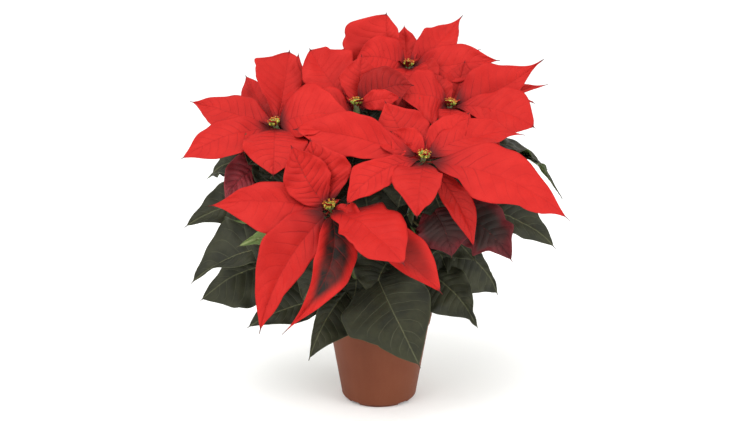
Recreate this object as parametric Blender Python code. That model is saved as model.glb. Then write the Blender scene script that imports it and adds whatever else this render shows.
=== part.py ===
# A red poinsettia in a round plastic pot, in metres with Z up.
# The origin is on the ground under the middle of the pot, and the plant's front faces -Y.

import math
from collections import namedtuple

import bmesh
import bpy
from mathutils import Vector

# Pot: a tapered wall on a notched foot ring, with a collar round the rim
POT_HEIGHT = 0.105
POT_FOOT_RADIUS = 0.0435
POT_TAPER = math.radians(9.5)
POT_WALL = 0.0016
POT_EDGE_RADIUS = 0.004
POT_EDGE_LIFT = 0.0018
POT_EDGE_STEPS = 3
LIP_ROUND = 0.001
FLOOR_CORNER = 0.004
COLLAR_HEIGHT = 0.012
COLLAR_STEP = 0.0014
FOOT_HEIGHT = 0.0042
FOOT_OUTER_RADIUS = 0.0402
FOOT_WIDTH = 0.0045
NOTCH_WIDTH = 0.015
NOTCH_COUNT = 4
NOTCH_ROOF = 0.0003
FLOOR_THICKNESS = 0.002
DRAIN_RADIUS = 0.004
DRAIN_CIRCLE = 0.029
DRAIN_COUNT = 6
DRAIN_SIDES = 12
POT_SEGMENTS = 48

# Soil: the side gap keeps its flat facets clear of the wall's
SOIL_TOP = 0.088
SOIL_MOUND = 0.003
SOIL_SIDE_GAP = 0.0005
SOIL_SHOULDER = 0.030
SOIL_CORNER = 0.005
SOIL_SEGMENTS = 32

# Stem
TRUNK_RADIUS = 0.0062
TRUNK_BOTTOM = 0.060
TRUNK_TOP = 0.122
TRUNK_CAP = 0.004
TRUNK_SIDES = 12
BRANCH_SIDES = 8
BRANCH_RINGS = 9
BRANCH_BASE_RADIUS = 0.0042
BRANCH_TIP_RADIUS = 0.0030
ROOT_OFFSET = 0.0015
FIRST_SPREAD = 0.35
FIRST_RISE = 0.18
LAST_RISE = 0.36

# Every pair of touching pieces keeps this much clear
GAP = 0.0003

# Blades: bracts and leaves
BLADE_THICKNESS = 0.0009
STALK_WIDTH = 0.0030
STALK_THICKNESS = 0.0024
BLADE_COLUMNS = 5
BLADE_STATIONS = (0.0, 0.06, 0.2, 0.38, 0.58, 0.78, 0.93, 1.0)
TIP_WIDTH = 0.0012
BRACT_STALK = 0.04
FIRST_BRACT_DROP = 0.0045
BRACT_STEP = 0.0027
MIDDLE = 0.55
FOLD_START = 0.25
PLANT_HEART = Vector((0.0, 0.0, 0.14))

Head = namedtuple("Head", "place root_height lean")
Blade = namedtuple("Blade", "name tip width peak lifts face fold bow skew", defaults=(8, 0.0, 0.0))
Leaf = namedtuple("Leaf", "name head along stalk tip width peak lifts face fold bow skew",
                  defaults=(8, 0.0, 0.0))

# The six heads: the branch tip, where the branch leaves the trunk, and how far it leans out
HEADS = {
    "a": Head((-0.118, -0.020, 0.338), 0.106, 0.030),
    "b": Head((-0.054, -0.100, 0.265), 0.100, 0.030),
    "c": Head((0.049, -0.070, 0.314), 0.110, 0.022),
    "d": Head((-0.026, -0.010, 0.359), 0.114, 0.004),
    "e": Head((0.082, 0.030, 0.348), 0.103, 0.022),
    "f": Head((0.034, 0.080, 0.383), 0.112, 0.020),
}

# Bracts of each head from the top one down. The peak is how far along a blade is widest. The lifts
# bow its midrib up off the straight line from base to tip, near the base and near the tip, and the
# bow bends it sideways. The face is the way the upper side looks, the fold in degrees raises the two
# halves like an open book, and the skew makes one half wider than the other.
BRACTS = {
    "a": (
        Blade("a4", (-0.104, 0.060, 0.406), 0.056, 0.66, (-0.012, -0.006), (0.2, -1, 0.3), 12, 0.0, 0.30),
        Blade("a6", (-0.033, -0.035, 0.354), 0.052, 0.46, (0.012, 0.010), (0.1, -0.8, 1)),
        Blade("a2", (-0.220, 0.040, 0.350), 0.052, 0.50, (0.004, 0.004), (-0.2, -0.7, 1)),
        Blade("a7", (-0.117, -0.085, 0.295), 0.054, 0.50, (0.012, 0.010), (0, -1, 1)),
        Blade("a1", (-0.221, -0.060, 0.312), 0.056, 0.52, (0.016, 0.014), (-0.2, -0.9, 1)),
        Blade("a8", (-0.155, 0.085, 0.370), 0.040, 0.50, (-0.006, 0.000), (0, -0.5, 1)),
    ),
    "b": (
        Blade("b2", (-0.097, -0.092, 0.333), 0.054, 0.52, (-0.010, -0.004), (0.3, -1, 0.3), 12),
        Blade("b3", (-0.077, -0.066, 0.334), 0.048, 0.50, (-0.010, -0.002), (-0.2, -1, 0.3), 12),
        Blade("b5", (0.027, -0.195, 0.229), 0.066, 0.50, (0.012, 0.012), (0.3, -0.6, 1)),
        Blade("b1", (-0.185, -0.120, 0.274), 0.062, 0.48, (0.012, 0.014), (-0.2, -1, 0.8)),
        Blade("b7", (-0.131, -0.190, 0.150), 0.060, 0.50, (0.016, 0.020), (0.1, -1, 0.4), 14, 0.012),
        Blade("b6", (0.067, -0.170, 0.188), 0.060, 0.46, (0.012, 0.016), (0.3, -1, 0.5)),
        Blade("b8", (-0.104, -0.205, 0.155), 0.056, 0.42, (0.010, 0.012), (0.3, -1, 0.4), 12, -0.034),
    ),
    "c": (
        Blade("c7", (0.006, -0.025, 0.367), 0.048, 0.46, (-0.012, -0.004), (0.3, -1, 0.4), 10),
        Blade("c1", (-0.097, -0.050, 0.340), 0.054, 0.46, (0.006, 0.010), (0, -1, 0.7)),
        Blade("c2", (-0.032, -0.120, 0.274), 0.042, 0.50, (0.024, 0.022), (-0.2, -1, 0.7)),
        Blade("c5", (0.167, -0.015, 0.330), 0.046, 0.46, (0.018, 0.020), (0, -0.7, 1), 10),
        Blade("c3", (0.040, -0.150, 0.268), 0.056, 0.48, (0.003, 0.006), (0, -1, 0.9)),
        Blade("c4", (0.208, -0.120, 0.257), 0.082, 0.48, (0.022, 0.032), (0.2, -0.8, 1), 8, 0.0, -0.15),
        Blade("c9", (0.102, -0.130, 0.227), 0.030, 0.46, (0.010, 0.014), (0.3, -1, 0.3)),
    ),
    "d": (
        Blade("d1", (-0.081, 0.050, 0.411), 0.062, 0.62, (-0.012, -0.006), (0.2, -1, 0.4), 10, 0.0, -0.15),
        Blade("d2", (0.040, 0.015, 0.375), 0.046, 0.46, (0.010, 0.012), (0.1, -1, 0.6)),
        Blade("d4", (-0.085, 0.110, 0.375), 0.064, 0.46, (0.012, 0.012), None),
    ),
    "e": (
        Blade("e3", (0.192, 0.060, 0.396), 0.054, 0.52, (-0.014, -0.008), (-0.2, -1, 0.6), 12),
        Blade("e6", (0.018, 0.010, 0.364), 0.054, 0.46, (0.012, 0.010), (-0.1, -0.8, 1)),
        Blade("e5", (0.180, 0.000, 0.328), 0.070, 0.66, (0.014, 0.014), (0.1, -0.9, 1)),
        Blade("e8", (0.190, 0.130, 0.325), 0.062, 0.46, (0.014, 0.016), None),
    ),
    "f": (
        Blade("f3", (0.101, 0.145, 0.431), 0.046, 0.50, (-0.010, -0.004), (-0.2, -1, 0.4), 12),
        Blade("f1", (0.009, 0.110, 0.440), 0.066, 0.66, (-0.012, -0.006), (0, -1, 0.3), 10, -0.016, 0.30),
        Blade("f5", (-0.028, 0.060, 0.395), 0.050, 0.46, (0.010, 0.010), (0, -1, 0.8)),
        Blade("f4", (0.142, 0.075, 0.392), 0.052, 0.52, (0.002, 0.008), (0, -1, 0.8)),
        Blade("f7", (-0.065, 0.180, 0.360), 0.064, 0.46, (0.014, 0.016), None),
        Blade("f8", (0.090, 0.200, 0.350), 0.066, 0.46, (0.014, 0.016), None),
    ),
}

# Leaves: the branch each grows on, how far along it, the share of its length that is stalk, and
# then the same values as a bract
LEAVES = (
    Leaf("01", "a", 0.60, 0.25, (-0.224, -0.025, 0.217), 0.058, 0.42, (0.022, 0.030), (-0.6, -0.8, 0.6)),
    Leaf("03", "b", 0.62, 0.25, (-0.215, -0.060, 0.161), 0.068, 0.42, (0.022, 0.034), (-0.4, -1, 0.8)),
    Leaf("04", "a", 0.38, 0.25, (-0.209, -0.020, 0.125), 0.076, 0.44, (0.024, 0.036), (-0.6, -1, 0.5)),
    Leaf("05", "b", 0.30, 0.25, (-0.152, -0.060, 0.107), 0.058, 0.42, (0.012, 0.016), (-0.3, -1, 0.5)),
    Leaf("06", "d", 0.25, 0.28, (-0.079, -0.120, 0.091), 0.058, 0.44, (0.020, 0.028), (0.1, -1, 0.3)),
    Leaf("07", "d", 0.36, 0.30, (0.046, -0.130, 0.086), 0.096, 0.46, (0.040, 0.050), (-0.1, -1, 0.2),
         8, 0.030),
    Leaf("08", "c", 0.42, 0.25, (0.110, -0.110, 0.126), 0.062, 0.42, (0.018, 0.026), (0.3, -1, 0.4)),
    Leaf("09", "c", 0.62, 0.25, (0.137, -0.040, 0.140), 0.056, 0.42, (0.018, 0.026), (0.5, -1, 0.5)),
    Leaf("10", "e", 0.55, 0.25, (0.203, -0.030, 0.193), 0.062, 0.42, (0.024, 0.040), (0.5, -0.8, 0.8)),
    Leaf("11", "e", 0.68, 0.25, (0.221, 0.080, 0.220), 0.056, 0.42, (0.044, 0.070), (0.9, 0.2, 0.5)),
    Leaf("12", "e", 0.40, 0.25, (0.200, 0.100, 0.170), 0.068, 0.42, (0.030, 0.050), None),
    Leaf("13", "f", 0.45, 0.25, (0.120, 0.190, 0.160), 0.072, 0.42, (0.030, 0.050), None),
    Leaf("14", "f", 0.55, 0.25, (0.000, 0.206, 0.180), 0.074, 0.42, (0.030, 0.050), None),
    Leaf("15", "d", 0.50, 0.25, (-0.120, 0.180, 0.170), 0.074, 0.42, (0.030, 0.050), None),
    Leaf("16", "a", 0.50, 0.25, (-0.190, 0.110, 0.170), 0.070, 0.42, (0.030, 0.050), None),
    Leaf("turning_1", "c", 0.80, 0.20, (0.080, -0.110, 0.209), 0.058, 0.42, (0.016, 0.020), (0.1, -1, 0.3)),
    Leaf("turning_2", "c", 0.72, 0.20, (0.149, -0.090, 0.197), 0.056, 0.42, (0.024, 0.030), (0.4, -1, 0.5)),
    Leaf("turning_3", "a", 0.80, 0.20, (-0.170, -0.055, 0.256), 0.048, 0.42, (0.020, 0.024), (-0.4, -1, 0.4)),
)

# Crowns: low domes with lobes round the rim
CROWN_RADIUS = 0.0062
CROWN_HEIGHT = 0.0090
CROWN_LOBES = 6
CROWN_LOBE_DEPTH = 0.14
CROWN_RINGS = 7


def clear_scene():
    for old in list(bpy.data.objects):
        bpy.data.objects.remove(old, do_unlink=True)


def plain_material(name, colour, roughness):
    material = bpy.data.materials.new(name)
    material.use_nodes = True
    shader = material.node_tree.nodes["Principled BSDF"]
    shader.inputs["Base Color"].default_value = (*colour, 1.0)
    shader.inputs["Roughness"].default_value = roughness
    shader.inputs["Metallic"].default_value = 0.0
    return material


def mesh_object(name, bm, material, smooth_below=math.radians(40)):
    mesh = bpy.data.meshes.new(name)
    bm.to_mesh(mesh)
    bm.free()
    mesh.shade_smooth()
    mesh.set_sharp_from_angle(angle=smooth_below)
    if material:
        mesh.materials.append(material)
    obj = bpy.data.objects.new(name, mesh)
    bpy.context.scene.collection.objects.link(obj)
    return obj


def turned(name, profile, segments, material):
    """A profile of (radius, height) points, turned round the Z axis into a closed solid."""
    bm = bmesh.new()
    points = [bm.verts.new((radius, 0.0, height)) for radius, height in profile]
    edges = [bm.edges.new((points[i - 1], points[i])) for i in range(1, len(points))]
    bmesh.ops.spin(bm, geom=points + edges, axis=(0, 0, 1), cent=(0, 0, 0),
                   angle=math.tau, steps=segments, use_merge=True)
    bmesh.ops.remove_doubles(bm, verts=bm.verts, dist=1e-6)
    bmesh.ops.recalc_face_normals(bm, faces=bm.faces)
    return mesh_object(name, bm, material)


def as_cutter(obj):
    obj.hide_render = True
    obj.display_type = "WIRE"
    return obj


def combine(obj, other, operation):
    boolean = obj.modifiers.new(other.name, "BOOLEAN")
    boolean.operation = operation
    boolean.solver = "EXACT"
    boolean.object = as_cutter(other)


def rounded_corner(centre, radius, start, end, steps):
    """Points on an arc about a centre in the (radius, height) plane, angles in degrees."""
    points = []
    for i in range(steps + 1):
        angle = math.radians(start + (end - start) * i / steps)
        points.append((centre[0] + radius * math.cos(angle), centre[1] + radius * math.sin(angle)))
    return points


def wall_radius(height):
    return POT_FOOT_RADIUS + height * math.tan(POT_TAPER)


def build_pot(material):
    floor_top = FOOT_HEIGHT + FLOOR_THICKNESS
    foot_inner = FOOT_OUTER_RADIUS - FOOT_WIDTH
    edge_centre = (wall_radius(FOOT_HEIGHT) - POT_EDGE_RADIUS, FOOT_HEIGHT + POT_EDGE_LIFT)
    collar_bottom = POT_HEIGHT - COLLAR_HEIGHT
    top_radius = wall_radius(POT_HEIGHT) + COLLAR_STEP
    profile = [(0.0, FOOT_HEIGHT), (foot_inner, FOOT_HEIGHT), (foot_inner, 0.0),
               (FOOT_OUTER_RADIUS, 0.0), (FOOT_OUTER_RADIUS, FOOT_HEIGHT * 0.5)]
    profile += rounded_corner(edge_centre, POT_EDGE_RADIUS, -50, 0, POT_EDGE_STEPS)
    profile += [(wall_radius(collar_bottom), collar_bottom),
                (wall_radius(collar_bottom) + COLLAR_STEP, collar_bottom + COLLAR_STEP),
                (top_radius, POT_HEIGHT - LIP_ROUND), (top_radius - LIP_ROUND, POT_HEIGHT),
                (wall_radius(POT_HEIGHT) - POT_WALL, POT_HEIGHT),
                (wall_radius(floor_top + FLOOR_CORNER) - POT_WALL, floor_top + FLOOR_CORNER),
                (wall_radius(floor_top) - POT_WALL - FLOOR_CORNER, floor_top),
                (0.0, floor_top)]
    pot = turned("pot", profile, POT_SEGMENTS, material)
    for i in range(NOTCH_COUNT):
        combine(pot, notch_cutter(i), "DIFFERENCE")
    for i in range(DRAIN_COUNT):
        combine(pot, drain_cutter(i), "DIFFERENCE")
    return pot


def notch_cutter(index):
    """A box through the foot ring, on a diagonal of the pot."""
    bm = bmesh.new()
    bmesh.ops.create_cube(bm, size=1.0)
    height = 2 * (FOOT_HEIGHT - NOTCH_ROOF)
    bmesh.ops.scale(bm, vec=(3 * FOOT_WIDTH, NOTCH_WIDTH, height), verts=bm.verts)
    cutter = mesh_object(f"notch_{index}", bm, None)
    angle = math.radians(45) + index * math.tau / NOTCH_COUNT
    reach = FOOT_OUTER_RADIUS - FOOT_WIDTH / 2
    cutter.location = (reach * math.cos(angle), reach * math.sin(angle), 0.0)
    cutter.rotation_euler = (0.0, 0.0, angle)
    return cutter


def drain_cutter(index):
    bm = bmesh.new()
    bmesh.ops.create_cone(bm, cap_ends=True, segments=DRAIN_SIDES, radius1=DRAIN_RADIUS,
                          radius2=DRAIN_RADIUS, depth=4 * FLOOR_THICKNESS)
    cutter = mesh_object(f"drain_{index}", bm, None)
    angle = (index + 0.5) * math.tau / DRAIN_COUNT
    cutter.location = (DRAIN_CIRCLE * math.cos(angle), DRAIN_CIRCLE * math.sin(angle),
                       FOOT_HEIGHT + FLOOR_THICKNESS / 2)
    return cutter


def build_soil(material):
    """A plug that fills the pot, with a mounded top and a bore that takes the trunk."""
    bottom = FOOT_HEIGHT + FLOOR_THICKNESS + GAP
    bore = TRUNK_RADIUS + GAP
    side = POT_WALL + SOIL_SIDE_GAP
    profile = [(0.0, bottom), (wall_radius(bottom) - side - SOIL_CORNER, bottom),
               (wall_radius(bottom + SOIL_CORNER) - side, bottom + SOIL_CORNER),
               (wall_radius(SOIL_TOP) - side, SOIL_TOP), (SOIL_SHOULDER, SOIL_TOP + SOIL_MOUND / 2),
               (bore, SOIL_TOP + SOIL_MOUND), (bore, TRUNK_BOTTOM - GAP), (0.0, TRUNK_BOTTOM - GAP)]
    return turned("soil", profile, SOIL_SEGMENTS, material)


def bezier(points, t):
    """The point at t on a cubic curve with four control points."""
    a, b, c, d = points
    s = 1.0 - t
    return a * s ** 3 + b * 3 * s * s * t + c * 3 * s * t * t + d * t ** 3


def bezier_direction(points, t):
    a, b, c, d = points
    s = 1.0 - t
    return ((b - a) * s * s + (c - b) * 2 * s * t + (d - c) * t * t).normalized()


def branch_curve(head):
    top = Vector(head.place)
    outward = Vector((top.x, top.y, 0.0))
    root = outward.normalized() * ROOT_OFFSET + Vector((0.0, 0.0, head.root_height))
    rise = top.z - root.z
    above_root = root + outward * FIRST_SPREAD + Vector((0, 0, rise * FIRST_RISE))
    below_top = top - outward.normalized() * head.lean - Vector((0, 0, rise * LAST_RISE))
    return (root, above_root, below_top, top)


def branch_radius(along):
    return BRANCH_BASE_RADIUS + (BRANCH_TIP_RADIUS - BRANCH_BASE_RADIUS) * along


def skin_rings(bm, rings):
    """Closed rings of equal length joined to a tube, with its two ends filled."""
    loops = [[bm.verts.new(point) for point in ring] for ring in rings]
    count = len(loops[0])
    for low, high in zip(loops, loops[1:]):
        for i in range(count):
            j = (i + 1) % count
            bm.faces.new((low[i], low[j], high[j], high[i]))
    bm.faces.new(loops[0][::-1])
    bm.faces.new(loops[-1])


def ring_about(centre, direction, radius, sides):
    across = direction.cross(Vector((0.0, 1.0, 0.0))).normalized()
    other = direction.cross(across)
    ring = []
    for i in range(sides):
        angle = math.tau * i / sides
        ring.append(centre + across * (radius * math.cos(angle)) + other * (radius * math.sin(angle)))
    return ring


def build_branch(key, head):
    curve = branch_curve(head)
    rings = []
    for i in range(BRANCH_RINGS):
        t = i / (BRANCH_RINGS - 1)
        rings.append(ring_about(bezier(curve, t), bezier_direction(curve, t), branch_radius(t), BRANCH_SIDES))
    bm = bmesh.new()
    skin_rings(bm, rings)
    bmesh.ops.recalc_face_normals(bm, faces=bm.faces)
    return mesh_object(f"branch_{key}", bm, None)


def build_stem(material):
    """The trunk, pinched out at its top, with the six branches grown into it."""
    profile = [(0.0, TRUNK_BOTTOM), (TRUNK_RADIUS, TRUNK_BOTTOM), (TRUNK_RADIUS, TRUNK_TOP - TRUNK_CAP),
               (TRUNK_RADIUS - TRUNK_CAP / 2, TRUNK_TOP), (0.0, TRUNK_TOP)]
    stem = turned("stem", profile, TRUNK_SIDES, material)
    for key, head in HEADS.items():
        combine(stem, build_branch(key, head), "UNION")
    return stem


def build_crown(key, head, material):
    """A low dome of buds on the branch tip, lobed round its rim."""
    axis = bezier_direction(branch_curve(head), 1.0)
    bm = bmesh.new()
    bmesh.ops.create_uvsphere(bm, u_segments=CROWN_LOBES * 4, v_segments=CROWN_RINGS, radius=1.0)
    for vertex in bm.verts:
        x, y, z = vertex.co
        lobe = 1.0 + CROWN_LOBE_DEPTH * math.cos(CROWN_LOBES * math.atan2(y, x)) * math.hypot(x, y)
        vertex.co = (x * CROWN_RADIUS * lobe, y * CROWN_RADIUS * lobe, (z + 1.0) * CROWN_HEIGHT / 2)
    crown = mesh_object(f"crown_{key}", bm, material)
    crown.location = Vector(head.place) + axis * GAP
    crown.rotation_euler = axis.to_track_quat("Z", "Y").to_euler()
    return crown


def width_share(x, peak):
    """The outline of a bract or leaf: 0 at both ends and 1 at its peak, where it is widest."""
    power = math.log(0.5) / math.log(peak)
    return math.sin(math.pi * x ** power) if 0 < x < 1 else 0.0


def midrib_curve(base, tip, lifts, bow):
    """A cubic from base to tip, with its two middle points moved off the straight line."""
    chord = tip - base
    sideways = Vector((-chord.y, chord.x, 0.0)).normalized()
    upward = chord.cross(sideways).normalized()
    aside = sideways * -bow
    return (base, base + chord / 3 + upward * lifts[0] + aside,
            base + chord * 2 / 3 + upward * lifts[1] + aside, tip)


def facing_of(blade, middle):
    if blade.face:
        return Vector(blade.face).normalized()
    return (middle - PLANT_HEART).normalized()


def blade_ring(curve, facing, u, half_width, thickness, fold, skew):
    """One closed cross-section: the upper side from edge to edge, then the lower side back."""
    along = bezier_direction(curve, u)
    across = along.cross(facing).normalized()
    normal = across.cross(along)
    upper, lower = [], []
    for i in range(BLADE_COLUMNS):
        share = -1.0 + 2.0 * i / (BLADE_COLUMNS - 1)
        out = half_width * share * (1.0 - skew * share / abs(share) if share else 1.0)
        spot = bezier(curve, u) + across * (out * math.cos(fold)) + normal * (abs(out) * math.sin(fold))
        upper.append(spot + normal * (thickness / 2))
        lower.append(spot - normal * (thickness / 2))
    return upper + lower[::-1]


def blade_rings(blade, base, stalk):
    """The cross-sections of a blade, from the foot of its stalk to its tip."""
    curve = midrib_curve(base, Vector(blade.tip), blade.lifts, blade.bow)
    facing = facing_of(blade, bezier(curve, MIDDLE))
    rings = [blade_ring(curve, facing, 0.0, STALK_WIDTH / 2, STALK_THICKNESS, 0.0, 0.0)]
    for x in BLADE_STATIONS:
        narrowest = TIP_WIDTH if x > blade.peak else STALK_WIDTH
        half_width = max(blade.width * width_share(x, blade.peak), narrowest) / 2
        thickness = STALK_THICKNESS if x == 0 else BLADE_THICKNESS
        fold = math.radians(blade.fold) * min(1.0, x / FOLD_START)
        u = stalk + (1 - stalk) * x
        rings.append(blade_ring(curve, facing, u, half_width, thickness, fold, blade.skew))
    return rings


def build_blade(name, blade, branch, along, stalk, material):
    """A blade whose stalk meets its branch on the side that looks towards the tip."""
    centre = bezier(branch, along)
    axis = bezier_direction(branch, along)
    out = Vector(blade.tip) - centre
    out = (out - axis * out.dot(axis)).normalized()
    surface = centre + out * branch_radius(along)
    foot = blade_rings(blade, surface, stalk)[0]
    deepest = min((point - surface).dot(out) for point in foot)
    rings = blade_rings(blade, surface + out * (GAP - deepest), stalk)
    bm = bmesh.new()
    skin_rings(bm, rings)
    bmesh.ops.recalc_face_normals(bm, faces=bm.faces)
    return mesh_object(name, bm, material)


def build_bracts(material):
    for key, blades in BRACTS.items():
        branch = branch_curve(HEADS[key])
        length = (branch[3] - branch[2]).length * 3
        for rank, blade in enumerate(blades):
            drop = FIRST_BRACT_DROP + rank * BRACT_STEP
            build_blade(f"bract_{blade.name}", blade, branch, 1.0 - drop / length, BRACT_STALK, material)


def build_leaves(green, burgundy):
    for leaf in LEAVES:
        branch = branch_curve(HEADS[leaf.head])
        material = burgundy if leaf.name.startswith("turning") else green
        build_blade(f"leaf_{leaf.name}", leaf, branch, leaf.along, leaf.stalk, material)


def build_all():
    clear_scene()
    build_pot(plain_material("terracotta_plastic", (0.23, 0.075, 0.045), 0.45))
    build_soil(plain_material("potting_soil", (0.030, 0.018, 0.010), 0.95))
    build_stem(plain_material("stem_green", (0.10, 0.16, 0.04), 0.6))
    crown_green = plain_material("crown_yellow_green", (0.35, 0.38, 0.05), 0.5)
    for key, head in HEADS.items():
        build_crown(key, head, crown_green)
    build_bracts(plain_material("bract_red", (0.62, 0.025, 0.018), 0.55))
    build_leaves(plain_material("leaf_green", (0.030, 0.045, 0.020), 0.55),
                 plain_material("leaf_burgundy", (0.14, 0.020, 0.022), 0.55))


build_all()
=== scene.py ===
# A red poinsettia in its pot: bracts, leaves, flower clusters, stem, soil and pot
import math
import random

import bmesh
import bpy
from mathutils import Matrix, Vector, noise


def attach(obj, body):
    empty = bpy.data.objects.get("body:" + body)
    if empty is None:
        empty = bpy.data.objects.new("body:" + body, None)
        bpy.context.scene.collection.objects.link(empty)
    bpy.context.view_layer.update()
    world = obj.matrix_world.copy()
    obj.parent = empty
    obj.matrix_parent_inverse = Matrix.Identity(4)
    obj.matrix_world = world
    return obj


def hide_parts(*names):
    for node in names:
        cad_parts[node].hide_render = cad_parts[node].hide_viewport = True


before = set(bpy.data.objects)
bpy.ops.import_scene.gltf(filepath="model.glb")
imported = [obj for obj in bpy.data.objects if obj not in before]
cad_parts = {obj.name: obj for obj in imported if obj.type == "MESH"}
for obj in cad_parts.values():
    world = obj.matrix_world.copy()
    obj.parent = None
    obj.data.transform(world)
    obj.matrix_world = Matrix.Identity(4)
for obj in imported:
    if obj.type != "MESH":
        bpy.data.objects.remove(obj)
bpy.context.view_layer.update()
print("frame loaded:", len(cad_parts), "nodes")

bpy.context.scene.view_settings.view_transform = "Standard"


# Curves that the whole plant shares: branches and midribs are cubics with four points

def curvePoint(points, t):
    a, b, c, d = points
    s = 1.0 - t
    return a * s ** 3 + b * 3 * s * s * t + c * 3 * s * t * t + d * t ** 3


def curveHeading(points, t):
    a, b, c, d = points
    s = 1.0 - t
    return ((b - a) * s * s + (c - b) * 2 * s * t + (d - c) * t * t).normalized()


# Where each branch ends, where it leaves the trunk and how far its top leans out
plantShape = {
    "heads": {
        "a": ((-0.118, -0.020, 0.338), 0.106, 0.030),
        "b": ((-0.054, -0.100, 0.265), 0.100, 0.030),
        "c": ((0.049, -0.070, 0.314), 0.110, 0.022),
        "d": ((-0.026, -0.010, 0.359), 0.114, 0.004),
        "e": ((0.082, 0.030, 0.348), 0.103, 0.022),
        "f": ((0.034, 0.080, 0.383), 0.112, 0.020),
    },
    "rootOffset": 0.0015,
    "firstSpread": 0.35,
    "firstRise": 0.18,
    "lastRise": 0.36,
    "branchRadii": (0.0042, 0.0030),
    "heart": Vector((0.0, 0.0, 0.14)),
}


def branchCurve(head):
    place, rootHeight, lean = plantShape["heads"][head]
    top = Vector(place)
    outward = Vector((top.x, top.y, 0.0))
    root = outward.normalized() * plantShape["rootOffset"] + Vector((0, 0, rootHeight))
    rise = top.z - root.z
    aboveRoot = root + outward * plantShape["firstSpread"] + Vector((0, 0, rise * plantShape["firstRise"]))
    belowTop = top - outward.normalized() * lean - Vector((0, 0, rise * plantShape["lastRise"]))
    return (root, aboveRoot, belowTop, top)


def branchRadius(along):
    base, tip = plantShape["branchRadii"]
    return base + (tip - base) * along


# Shader helpers

def newMaterial(name):
    material = bpy.data.materials.new(name)
    material.use_nodes = True
    return material, material.node_tree, material.node_tree.nodes["Principled BSDF"]


# A socket takes a link from another socket, or a plain value.
def plug(tree, value, socket):
    if isinstance(value, bpy.types.NodeSocket):
        tree.links.new(value, socket)
    else:
        socket.default_value = value


def calc(tree, operation, first, second=0.0, third=0.0, clamp=False):
    node = tree.nodes.new("ShaderNodeMath")
    node.operation = operation
    node.use_clamp = clamp
    for socket, value in zip(node.inputs, (first, second, third)):
        plug(tree, value, socket)
    return node.outputs[0]


def smooth(tree, value, low, high, toLow=0.0, toHigh=1.0):
    node = tree.nodes.new("ShaderNodeMapRange")
    node.interpolation_type = "SMOOTHSTEP"
    for socket, number in zip(node.inputs, (value, low, high, toLow, toHigh)):
        plug(tree, number, socket)
    return node.outputs[0]


def mixColour(tree, share, first, second, blend="MIX"):
    node = tree.nodes.new("ShaderNodeMix")
    node.data_type = "RGBA"
    node.blend_type = blend
    plug(tree, share, node.inputs[0])
    plug(tree, first if isinstance(first, bpy.types.NodeSocket) else (*first, 1.0), node.inputs[6])
    plug(tree, second if isinstance(second, bpy.types.NodeSocket) else (*second, 1.0), node.inputs[7])
    return node.outputs[2]


def attribute(tree, name):
    node = tree.nodes.new("ShaderNodeAttribute")
    node.attribute_name = name
    return node.outputs["Fac"]


def noiseTexture(tree, scale, detail=3.0, roughness=0.5, vector=None):
    node = tree.nodes.new("ShaderNodeTexNoise")
    node.inputs["Scale"].default_value = scale
    node.inputs["Detail"].default_value = detail
    node.inputs["Roughness"].default_value = roughness
    if vector is None:
        vector = tree.nodes.new("ShaderNodeTexCoord").outputs["Object"]
    tree.links.new(vector, node.inputs["Vector"])
    return node.outputs["Fac"]


def bump(tree, height, strength, distance):
    node = tree.nodes.new("ShaderNodeBump")
    node.inputs["Strength"].default_value = strength
    node.inputs["Distance"].default_value = distance
    tree.links.new(height, node.inputs["Height"])
    return node.outputs["Normal"]


# A node group with named float inputs and outputs.
def newGroup(name, inputs, outputs):
    group = bpy.data.node_groups.new(name, "ShaderNodeTree")
    for label, value in inputs.items():
        socket = group.interface.new_socket(label, in_out="INPUT", socket_type="NodeSocketFloat")
        socket.default_value = value
    for label in outputs:
        group.interface.new_socket(label, in_out="OUTPUT", socket_type="NodeSocketFloat")
    return group, group.nodes.new("NodeGroupInput").outputs, group.nodes.new("NodeGroupOutput").inputs


def placeGroup(tree, group, **values):
    node = tree.nodes.new("ShaderNodeGroup")
    node.node_tree = group
    for label, value in values.items():
        plug(tree, value, node.inputs[label])
    return node.outputs


# Pinnate veins, drawn on the blade's own map: u runs from stalk to tip and v from edge to edge.
# The same slants shape the relief of the blade's mesh.
veinShape = {"slant": 0.13, "hook": 0.07, "wobble": 0.010, "wobbleTurns": 3.0}


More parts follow.
